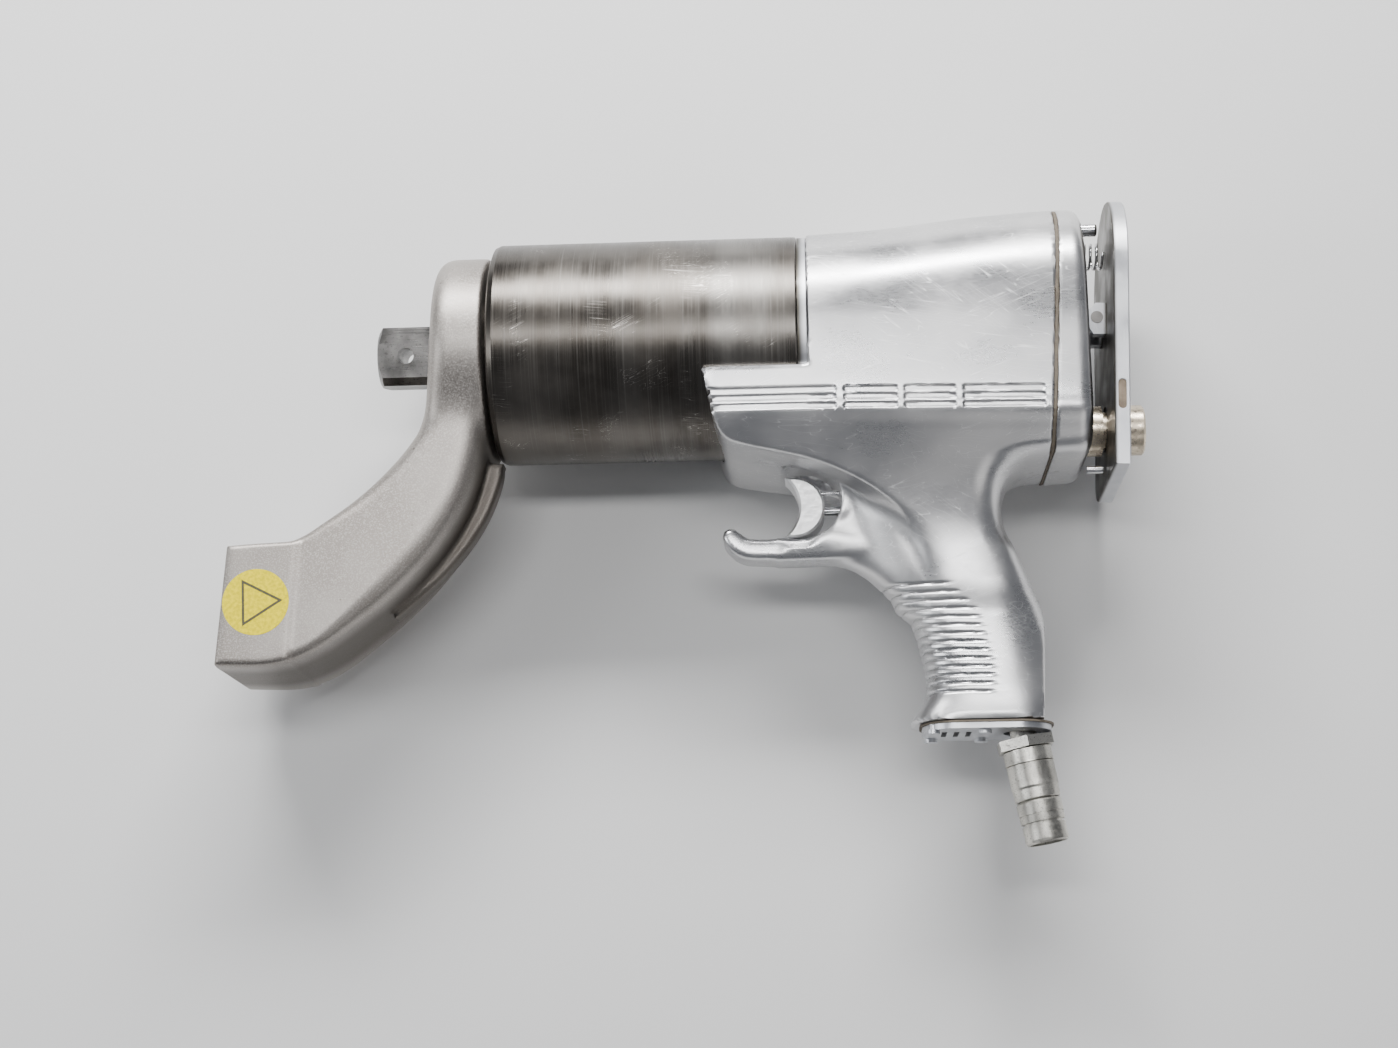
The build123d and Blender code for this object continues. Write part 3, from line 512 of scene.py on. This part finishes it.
def metal(name, color, roughness, patchy, grain=500.0, pit=0.0, streaks=None):
    """A machined metal with a fine grain or streaks, a patchy tone and optional dark pits."""
    paint = Paint(name, color, roughness)
    cloud = paint.noise((70, 70, 70), detail=4)
    fine = paint.noise(streaks or (grain,) * 3, detail=3, roughness=0.6)
    dark = tuple(c * (1 - patchy) for c in color)
    light = tuple(min(1.0, c * (1 + patchy * 0.6)) for c in color)
    tone = paint.mix(paint.ramp(cloud, 0.3, 0.7), dark, light)
    if pit:
        spots = paint.ramp(paint.noise((grain * 2,) * 3, detail=2), 0.60, 0.68)
        tone = paint.mix(paint.times(spots, pit), tone, tuple(c * 0.25 for c in color))
    paint.color(tone)
    paint.rough(paint.ramp(fine, 0.3, 0.7, max(0.05, roughness - 0.08), roughness + 0.1))
    paint.bump(fine, 0.00003, 0.5)
    return paint.material


def dull(name, color, roughness, shine=0.5):
    """A non-metal: rubber, paper, plastic or vinyl."""
    paint = Paint(name, color, roughness, metallic=0.0)
    paint.shader.inputs["Specular IOR Level"].default_value = shine
    fine = paint.noise((700, 700, 700), detail=3)
    dark = tuple(c * 0.8 for c in color)
    light = tuple(min(1, c * 1.1) for c in color)
    paint.color(paint.mix(paint.ramp(fine, 0.3, 0.7), dark, light))
    paint.bump(fine, 0.00004, 0.5)
    return paint.material


aluminium = polished_aluminium()
plate = satin_plate("satin_plate")
# painted shade on the rocker's inner face and on a band of the spacer ring at the gap to the gearbox
rocker_plate = satin_plate("rocker_plate", (0.3017, 0.0437, 0.0016))
ring_plate = satin_plate("ring_plate", (0.1705, 0.0, 0.003))
arm_steel = blasted_steel()
black_steel = blackened_steel()
drive_steel = metal("drive_steel", (0.17, 0.165, 0.16), 0.34, 0.6, pit=0.5, streaks=(60, 1500, 1500))
gear_steel = metal("gear_steel", (0.45, 0.45, 0.46), 0.3, 0.2)
bright_steel = metal("bright_steel", (0.72, 0.72, 0.73), 0.18, 0.2)
trigger_metal = metal("trigger_metal", (0.95, 0.95, 0.95), 0.45, 0.04)
nickel = metal("nickel", (0.56, 0.545, 0.50), 0.36, 0.35, grain=900, pit=0.7)
brass_nickel = metal("brass_nickel", (0.74, 0.64, 0.50), 0.3, 0.3, pit=0.4)
bronze = metal("bronze", (0.62, 0.42, 0.22), 0.4, 0.2)
screw_steel = metal("screw_steel", (0.26, 0.25, 0.24), 0.36, 0.3)
rubber = dull("rubber", (0.03, 0.03, 0.03), 0.6)
gasket_paper = dull("gasket_paper", (0.15, 0.125, 0.095), 0.75)
phenolic = dull("phenolic", (0.30, 0.18, 0.10), 0.5)
label_vinyl = dull("label_vinyl", (0.85, 0.70, 0.0), 0.6, shine=0.12)
label_print = dull("label_print", (0.07, 0.065, 0.03), 0.6)
pocket_paint = metal("pocket_paint", (0.26, 0.21, 0.16), 0.5, 0.4)

SLOT_MATERIALS = {
    "drive_steel": drive_steel, "arm_steel": arm_steel, "gearbox_black": black_steel,
    "gear_steel": gear_steel, "housing_aluminium": aluminium, "plate_aluminium": plate,
    "bright_steel": bright_steel, "trigger_white": trigger_metal, "nickel": nickel,
    "plunger_brass": brass_nickel, "bronze": bronze, "seal_rubber": rubber,
    "gasket_paper": gasket_paper, "vane_plastic": phenolic, "label_yellow": label_vinyl,
    "screw_steel": screw_steel,
}
# nodes whose finish differs from the rest of their slot
NODE_MATERIALS = {
    "direction_rocker": rocker_plate, "spacer_ring": ring_plate, "grip_screws": plate,
}


# ------------------------------------------------------------------ motor housing
# Outlines are (x, y) points in the side view. Knots are (place, value) pairs.
# side view of the flanks: nose, crease above the trigger, grip root, rear armpit, joint
side_outline = rounded_path([
    (housing_front, 75), (housing_front, 75), (housing_front, -22), (housing_front, -22),
    (130, -22), (130, -22), (133, -36), (135.3, -45), (139, -50.6), (146, -53.4), (165, -57.2),
    (177, -60.2), (189, -64.6), (201, -70.8), (212, -78.2), (220.5, -88), (227, -101), (233, -112),
    (246, -116), (258, -112), (257.5, -97), (253.5, -88), (251.6, -80), (252, -72), (255.5, -65),
    (261.5, -60.6), (270, -58.6), (280, -57.6), (305, -56), (305, -56), (305, 75), (305, 75)])
# the thinner web between the crease, the trigger's recess and the front of the grip
web_outline = rounded_path([
    (170.5, -38), (170.5, -38), (236, -38), (236, -38), (238, -112), (238, -112), (213, -119),
    (207.5, -112.5), (202, -107), (196, -102.6), (189, -99), (180.5, -96.6), (170, -96), (160, -95.9),
    (160, -95.9), (160, -87.2), (160, -87.2), (170.5, -87.2), (170.5, -87.2)])
# the bar under the trigger finger, hooked up at its tip
guard_outline = rounded_path([
    (196, -92.5), (196, -92.5), (182, -95.2), (170, -95.8), (158, -95.9), (147.5, -95.4), (142, -93.4),
    (138.0, -89.6), (136.4, -85.6), (137.6, -82.6), (140.8, -81.8), (143.8, -83.8), (148.0, -86.4),
    (156, -86.8), (180, -86.8), (196, -90.0), (196, -90.0)])

# height of the barrel's top along X, half widths down the flanks, and the grip's lines
top_line = [(174, 48.5), (205, 50.3), (244, 54.6), (276, 56.8), (292, 57.2)]
half_width = [(-120, 17.5), (-104, 18.2), (-90, 20.2), (-76, 24.8), (-66, 29.6), (-57.5, 34.6),
              (-50, 39.6), (-45, 43.2), (-41.5, 45.0), (-36, 45.6), (-20, 46.8), (0, 48.5)]
grip_front = [(-62, 190), (-78, 193), (-90, 197), (-104, 203.5), (-112, 209), (-119, 213), (-127, 216),
              (-136, 218.3), (-145, 220), (-153, 220), (-158, 218.5), (-162.5, 215.6), (-167, 212.6)]
grip_back = [(-62, 254), (-70, 252.3), (-78, 251.6), (-84, 252.3), (-90, 254.6), (-98, 259),
             (-107, 264.4), (-116, 268.4), (-124, 271), (-133, 273.1), (-142, 274), (-154, 273.6),
             (-167, 273)]
grip_half = [(-62, 19), (-90, 18), (-119, 18), (-136, 18.4), (-152, 19), (-161, 19.4), (-167, 20)]
groove_rows = (-32.8, -36.3, -39.8)
groove_spans = ((128, 185.6), (188.5, 210.9), (213.4, 234.8), (237.6, 271.5))
groove_depth = 0.8
groove_half = 1.25
rib_pitch = 3.5
rib_count = 14
rib_top = -109.0
rib_slope = -0.035
rib_depth = 0.6
rib_width = 0.5
rib_reach = 22.0                 # of the first groove; each of the next three is rib_growth longer
rib_growth = 1.6


def joint_distance(x, y):
    """Distance behind the joint face of the housing."""
    return (x - joint_x) * math.cos(joint_tilt) - y * math.sin(joint_tilt)


def shell_section(x, y, z):
    """The tapering barrel with its flanks and lower facets, endless along X."""
    along = np.clip(x, housing_front, 300.0)
    back = along - housing_front
    radius = 48.5 - back * (7.5 / 116)
    centre = curve(along, top_line) - radius
    side = np.abs(z)
    top = np.sqrt(np.maximum(y - centre, 0.0) ** 2 + side ** 2) - radius
    narrow = 1 - 0.118 * back / 104
    facet_slope = 1 - 0.18 * step_up(-y, 40, 48)     # keeps the distance true on the leaning facets
    flank = (side - curve(y, half_width) * narrow) * facet_slope
    return smax(top, flank, 3.0)


def groove_cut(x, y, z):
    """Depth taken off the flanks by the three rows of shallow grooves."""
    cut = 0.0
    for row in groove_rows:
        for start, end in groove_spans:
            along = np.maximum(np.maximum(start + groove_half - x, x - end + groove_half), 0.0)
            away = np.sqrt(along ** 2 + (y - row) ** 2)
            cut = cut + step_up(-away, -groove_half - 0.3, -groove_half + 0.4)
    on_flank = np.abs(z) > 25
    return groove_depth * cut * on_flank


def rib_cut(x, y):
    """Depth taken off the grip by its fine finger grooves."""
    front = curve(y, grip_front)
    in_from_front = x - front
    row = (rib_top - y + rib_slope * in_from_front) / rib_pitch
    nearest = np.clip(np.round(row), 0, rib_count - 1)
    away = np.abs(row - nearest) * rib_pitch
    reach = rib_reach + rib_growth * np.minimum(nearest, 3)
    fade = 1 - step_up(in_from_front, reach - 3, reach + 2)
    return rib_depth * np.exp(-(away / rib_width) ** 2) * fade


def grip_field(x, y, z):
    """The grip: an oblong tube that follows its front and back lines."""
    front = curve(y, grip_front)
    back = curve(y, grip_back)
    half_x = (back - front) / 2
    half_z = curve(y, grip_half)
    u = np.abs(x - (front + back) / 2) / half_x
    v = np.abs(z) / half_z
    power = 2.6 + 0.8 * step_up(-y, 145, 162)        # the section squares up at the end plate
    shape = (u ** power + v ** power) ** (1 / power)
    body = (shape - 1) * half_z * 0.95
    return smax(body, np.maximum(grip_end - y, y + 62), 1.2)


def bore(x, y, z, x_from, x_to, at_y, radius):
    """A round hole along X, negative inside."""
    return np.maximum(np.sqrt((y - at_y) ** 2 + z ** 2) - radius, np.maximum(x_from - x, x - x_to))


def slanted(x, y, z, start, end, radius):
    """A round hole between two points in the middle plane."""
    run = np.array(end, float) - np.array(start, float)
    length = float(np.hypot(*run))
    run /= length
    t = (x - start[0]) * run[0] + (y - start[1]) * run[1]
    off = (x - start[0]) * run[1] - (y - start[1]) * run[0]
    return np.maximum(np.sqrt(off ** 2 + z ** 2) - radius, np.maximum(-t, t - length))


# (x from, x to, y, radius) of the holes along X
straight_holes = [
    (*spigot_span, 0, spigot_r), (*motor_span, 0, motor_r),
    (262, 300, plunger_y, plunger_bore), (183, 206, valve_y, valve_bore),
    (205, 226, valve_y, valve_room), (183, 200, guide_y, guide_bore)]
# (start, end, radius) of the air way, the inlet and the silencer's room in the grip
slanted_holes = [
    ((218, -75.5), (260, -168.5), air_way), ((257.5, -159), (261, -178), inlet_bore),
    ((silencer_x, -140), (silencer_x, -180), silencer_bore)]


def housing_field(x, y, z):
    """The motor housing with its nose, grip, trigger guard, grooves and holes."""
    side = np.abs(z)
    # the crease softens rearwards
    edge = 1.4 + 10.0 * step_up(x, 205, 245) * step_up(-y, 48, 60)
    flank = smax(shell_section(x, y, z), outline_distance(x, y, side_outline), edge)
    web = smax(outline_distance(x, y, web_outline), side - web_half, 12.0)
    guard = smax(outline_distance(x, y, guard_outline), side - guard_half, 3.0)
    away = np.sqrt((x - recess_x) ** 2 + (y - recess_y) ** 2)
    rim = smax(away - recess_r - recess_rim, side - rim_half, 3.0)
    rim = smax(smax(rim, recess_x - 3 - x, 2.0), -80.0 - y, 6.0)     # only its rear upper part

    body = smin(flank, grip_field(x, y, z), 9.0)
    body = smin(body, web, 6.0)
    body = smin(body, guard, 4.0)
    body = smin(body, rim, 2.5)
    body = body + groove_cut(x, y, z) + rib_cut(x, y)
    body = smax(body, np.minimum(recess_r - away, recess_half - side), 1.0)
    body = smax(body, joint_distance(x, y), 0.8)
    body = smax(body, grip_end - y, 1.4)
    cradle = gearbox_r + cradle_gap - np.sqrt(y ** 2 + z ** 2)
    body = np.where(x < housing_front, smax(body, cradle, 0.6), body)
    for x_from, x_to, at_y, radius in straight_holes:
        body = np.maximum(body, -bore(x, y, z, x_from, x_to, at_y, radius))
    for start, end, radius in slanted_holes:
        body = np.maximum(body, -slanted(x, y, z, start, end, radius))
    return body


def build_housing():
    groove_ends = [(span[1] - 2.2, span[1] + 4.8, 0.5) for span in groove_spans]
    ribs, trigger_side, grooves = (-159, -107, 0.4), (-96, -48, 1.1), (-42.5, -30, 0.45)
    grid = (spread(126, 280, 1.65, groove_ends),
            spread(-170, 60, 1.5, [ribs, trigger_side, grooves]),
            spread(-51, 51, 1.65))
    shell = cast("housing_shell", housing_field, grid, aluminium, "housing")
    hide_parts("motor_housing")


def cover_field(x, y, z):
    """The rear cover: the housing's section carried on behind the gasket."""
    body = smax(shell_section(x, y, z), outline_distance(x, y, side_outline), 6.0)
    body = smax(body, x - cover_back, 6.0)
    body = smax(body, gasket_thickness - joint_distance(x, y), 0.8)
    return np.maximum(body, -bore(x, y, z, 260, 300, plunger_y, plunger_bore))


def build_cover():
    grid = (spread(268, 294, 0.9), spread(-62, 60, 1.0), spread(-50, 50, 1.0))
    cover = cast("rear_cover_casting", cover_field, grid, aluminium, "housing")
    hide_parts("rear_cover")


def gasket_field(x, y, z):
    """The gasket: a leaning slice of the same section, set in a little."""
    body = smax(shell_section(x, y, z), outline_distance(x, y, side_outline), 6.0) + 0.25
    gap = joint_distance(x, y)
    body = np.maximum(body, np.maximum(gap - gasket_thickness - 0.05, -gap - 0.05))
    return np.maximum(body, -bore(x, y, z, 260, 300, plunger_y, plunger_bore + 0.5))


def build_gasket():
    grid = (spread(270, 284, 0.45), spread(-61, 60, 1.1), spread(-50, 50, 1.1))
    gasket = cast("rear_gasket_sheet", gasket_field, grid, gasket_paper, "housing")
    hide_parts("rear_gasket")


# ------------------------------------------------------------------ reaction arm
arm_outline = rounded_path([
    (14.5, 60), (14.5, 60), (14.5, -8), (13.7, -26), (9.5, -38), (2.5, -49), (-8, -61), (-19, -71.5),
    (-30, -80), (-38, -85.5), (-46, -88.4), (-58, -89.2), (-70, -90), (-70, -90),
    (-73.2, -140.6), (-73.2, -140.6), (-54, -141), (-40, -138.5), (-28, -132.5), (-15.5, -123.5),
    (-3, -113.5), (9.5, -101), (20.5, -87), (28.5, -73), (33, -60), (35.5, -48), (37, -34),
    (37.2, -18), (37.2, 0), (37.2, 60), (37.2, 60)])
# the thin rib behind the leg, and the block that takes the reaction
back_rib_outline = rounded_path([
    (20, -49.5), (20, -49.5), (40.8, -49.8), (41.8, -51.5), (41.3, -57), (39, -65), (36, -72.5),
    (32, -80), (27, -87.5), (21, -95), (15, -101.5), (6, -109.5), (-4, -118), (-4, -118),
    (0, -95), (0, -95)])
foot_outline = rounded_path([
    (-39.5, -88.6), (-39.5, -88.6), (-58, -89.2), (-70, -90), (-70, -90),
    (-73.2, -140.6), (-73.2, -140.6), (-54, -141), (-42, -139.3), (-42, -139.3)])
ring_front, ring_back = 14.5, 37.2
ring_outer_r = 42.5
ring_bore_r = 31.0
counterbore_r = 33.5
counterbore_end = 23.2
mouth_r = 35.0                   # the flared mouth in front of the counterbore
mouth_end = 16.0
leg_half = 30.5
foot_half = 31.36
back_rib_half = 5.0
gearbox_front = 37.4             # the arm stays clear of the gearbox behind this
gearbox_clear_r = 49.3


def arm_field(x, y, z):
    """The arm: a ring around the nose, a cranked leg with a thin rib behind it, and a foot."""
    side = np.abs(z)
    radial = np.sqrt(y ** 2 + z ** 2)
    ring = smax(smax(radial - ring_outer_r, ring_front - x, 9.0), x - ring_back, 2.5)
    edge = 11.0 - 6.0 * step_up(-x, 0, 38)           # the leg's edges sharpen towards the foot
    leg = smax(outline_distance(x, y, arm_outline), side - leg_half, edge)
    leg = smax(leg, y + 5, 10.0)                     # it ends inside the ring
    foot = smax(outline_distance(x, y, foot_outline), side - foot_half, 2.6)
    back_rib = smax(outline_distance(x, y, back_rib_outline), side - back_rib_half, 2.0)
    body = smin(smin(ring, leg, 9.0), foot, 1.2)
    body = smin(body, back_rib, 2.0)
    body = smax(body, ring_bore_r - radial, 0.8)
    body = np.maximum(body, np.minimum(x - gearbox_front, gearbox_clear_r - radial))
    counterbore = np.maximum(radial - counterbore_r, x - counterbore_end)
    mouth = smax(radial - mouth_r + np.maximum(x - 13.5, 0) * 0.8, x - mouth_end, 0.5)
    return np.maximum(np.maximum(body, -counterbore), -mouth)


def build_arm():
    foot_top = (-92, -86, 0.6)
    grid = (spread(-76, 44, 1.1), spread(-144, 46, 1.1, [foot_top]), spread(-44.5, 44.5, 1.1))
    arm = cast("reaction_arm_casting", arm_field, grid, arm_steel, "gearbox")
    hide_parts("reaction_arm")


# ------------------------------------------------------------------ small pieces
def flat_frame(outline, hole, z_low, z_high):
    """Points and faces of a flat frame between two outlines with as many corners."""
    count = len(outline)
    points = [(x, y, z) for z in (z_low, z_high) for ring in (outline, hole) for x, y in ring]
    faces = []
    for i in range(count):
        j = (i + 1) % count
        low_out, low_in, top_out, top_in = (k * count for k in range(4))
        faces.append((top_out + i, top_out + j, top_in + j, top_in + i))
        faces.append((low_out + j, low_out + i, low_in + i, low_in + j))
        faces.append((low_out + i, low_out + j, top_out + j, top_out + i))
        faces.append((low_in + j, low_in + i, top_in + i, top_in + j))
    return points, faces


def flat_plate(outline, z_low, z_high):
    """Points and faces of a flat plate with an outline."""
    count = len(outline)
    points = [(x, y, z) for z in (z_low, z_high) for x, y in outline]
    faces = [tuple(reversed(range(count))), tuple(range(count, 2 * count))]
    for i in range(count):
        j = (i + 1) % count
        faces.append((i, j, count + j, count + i))
    return points, faces


def build_label_triangle():
    """A plain triangle outline printed on the yellow disc."""
    low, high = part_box("arm_label")
    centre_x = (low.x + high.x) / 2 / MM
    centre_y = (low.y + high.y) / 2 / MM
    top = high.z / MM
    turns = [math.radians(3 + 120 * k) for k in range(3)]

    def triangle(radius):
        return [(centre_x + radius * math.cos(a), centre_y + radius * math.sin(a)) for a in turns]

    points, faces = flat_frame(triangle(11.4), triangle(9.4), top - 0.05, top + 0.06)
    print_piece = piece_from("label_triangle", points, faces, label_print, "gearbox")


def build_pockets():
    """Dark brown floors of the slots milled in the rocker's two edges."""
    half_turn = [math.radians(a) for a in range(0, 181, 15)]
    far_end = [(pocket_r * math.cos(a), pocket_reach + pocket_r * math.sin(a)) for a in half_turn]
    outline = far_end + [(-x, -y) for x, y in far_end]
    cos, sin = math.cos(rocker_lean), math.sin(rocker_lean)
    turn = np.array([[cos, -sin], [sin, cos]])
    pin = np.array(rocker_pin)
    leaning = [turn @ (np.array(pocket_centre) + point - pin) + pin for point in outline]
    for name, side in (("rocker_pocket_left", 1), ("rocker_pocket_right", -1)):
        low, high = sorted(side * z for z in pocket_floor)
        points, faces = flat_plate(leaning, low, high)
        pocket = piece_from(name, points, faces, pocket_paint, "rocker")


def spring(node, start, end, coil_r, wire_r, turns, anchor):
    """A coil spring in place of a CAD node; anchor is not used."""
    start, end, anchor = (np.array(p, float) for p in (start, end, anchor))
    length = float(np.linalg.norm(end - start))
    run = (end - start) / length
    side = np.array([0.0, 0.0, 1.0])
    up = np.cross(side, run)
    angle = np.linspace(0, 2 * math.pi * turns, 28 * turns + 1)
    outward = np.cos(angle)[:, None] * side + np.sin(angle)[:, None] * up
    centre = start + run * (angle / angle[-1] * length)[:, None] + coil_r * outward
    corners = 10
    ring = np.linspace(0, 2 * math.pi, corners, endpoint=False)[:, None]
    points = centre[:, None] + wire_r * (np.cos(ring) * outward[:, None] + np.sin(ring) * run)
    points = points.reshape(-1, 3)
    faces = []
    for i in range(len(angle) - 1):
        for k in range(corners):
            a = i * corners + k
            b = i * corners + (k + 1) % corners
            faces.append((a, b, b + corners, a + corners))
    faces.append(tuple(reversed(range(corners))))
    faces.append(tuple(range(len(points) - corners, len(points))))
    coil = piece_from(node + "_coil", points, faces, bright_steel, "housing")
    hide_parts(node)
    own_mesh(coil)


def build_springs():
    spring("valve_spring", (207.1, valve_y, 0), (224.1, valve_y, 0), coil_r=4.2, wire_r=0.45,
           turns=5, anchor=(224.1, valve_y, 0))
    spring("rocker_spring", (292.2, 38, 0), (302.6, 38, 0), coil_r=5.4, wire_r=0.6,
           turns=4, anchor=(291.6, 38, 0))
    way = np.array([math.sin(inlet_lean), -math.cos(inlet_lean), 0.0])
    base = np.array([inlet_x, inlet_base_y, 0.0])
    spring("coupler_spring", base + 16.8 * way, base + 26.2 * way, coil_r=4.3, wire_r=0.45,
           turns=4, anchor=base + 16.35 * way)


build_housing()
build_cover()
build_gasket()
build_arm()
build_label_triangle()
build_pockets()
build_springs()

# ------------------------------------------------------------------ finish of the CAD nodes
for entry in frame["record"]["subparts"]:
    node = nodes[entry["node"]]
    material = NODE_MATERIALS.get(entry["node"], SLOT_MATERIALS[entry["material_slot"]])
    node.data.materials.clear()
    node.data.materials.append(material)


# ------------------------------------------------------------------ stage
def build_stage():
    """A plain pale floor just under the tool, which lies on its right side."""
    floor_z = cad_box[0][2] - 0.0004
    reach = 3.0
    corners = [(-reach, -reach), (reach, -reach), (reach, reach), (-reach, reach)]
    mesh = bpy.data.meshes.new("floor")
    mesh.from_pydata([(x, y, floor_z) for x, y in corners], [], [(0, 1, 2, 3)])
    paint = Paint("floor_paint", (0.76, 0.755, 0.75), 0.7, metallic=0.0)
    tone = paint.mix(paint.noise((5, 5, 5), detail=3), (0.74, 0.735, 0.73), (0.78, 0.78, 0.775))
    paint.color(tone)
    mesh.materials.append(paint.material)
    floor = bpy.data.objects.new("floor", mesh)
    bpy.context.scene.collection.objects.link(floor)


def area_light(name, place, target, size, power, color=(1, 1, 1)):
    """A rectangular lamp that faces target."""
    light = bpy.data.lights.new(name, "AREA")
    light.shape = "RECTANGLE"
    light.size, light.size_y = size
    light.energy = power
    light.color = color
    lamp = bpy.data.objects.new(name, light)
    lamp.location = place
    lamp.rotation_euler = (Vector(target) - Vector(place)).to_track_quat("-Z", "Y").to_euler()
    bpy.context.scene.collection.objects.link(lamp)


def build_lights():
    middle = (0.12, -0.05, 0.0)
    warm, cool = (1.0, 0.98, 0.95), (0.96, 0.98, 1.0)
    area_light("key", (0.05, 0.95, 0.72), middle, size=(1.1, 0.30), power=34)
    area_light("overhead", (0.12, 0.08, 1.15), middle, size=(0.9, 0.14), power=6)
    area_light("fill", (0.75, -0.8, 0.8), middle, size=(0.6, 0.5), power=1, color=warm)
    area_light("edge", (-0.9, -0.1, 0.6), middle, size=(0.3, 0.7), power=4, color=cool)
    world = bpy.data.worlds.new("studio")
    world.use_nodes = True
    background = world.node_tree.nodes["Background"]
    background.inputs["Color"].default_value = (0.9, 0.93, 1.0, 1)
    background.inputs["Strength"].default_value = 0.2
    bpy.context.scene.world = world


def build_camera():
    """The photograph's view: above the tool's left side, a little beyond the end of its grip."""
    camera = bpy.data.cameras.new("camera")
    camera.lens = 56.65
    camera.sensor_width = 36.0
    view = bpy.data.objects.new("camera", camera)
    right = Vector((0.99817, -0.00873, -0.05988))
    up = Vector((0.02296, 0.97019, 0.24127))
    back = right.cross(up)
    place = Vector((0.1787, -0.3055, 0.9109))
    rows = [(right[k], up[k], back[k], place[k]) for k in range(3)]
    view.matrix_world = Matrix((*rows, (0, 0, 0, 1)))
    bpy.context.scene.collection.objects.link(view)
    bpy.context.scene.camera = view


build_stage()
build_lights()
build_camera()
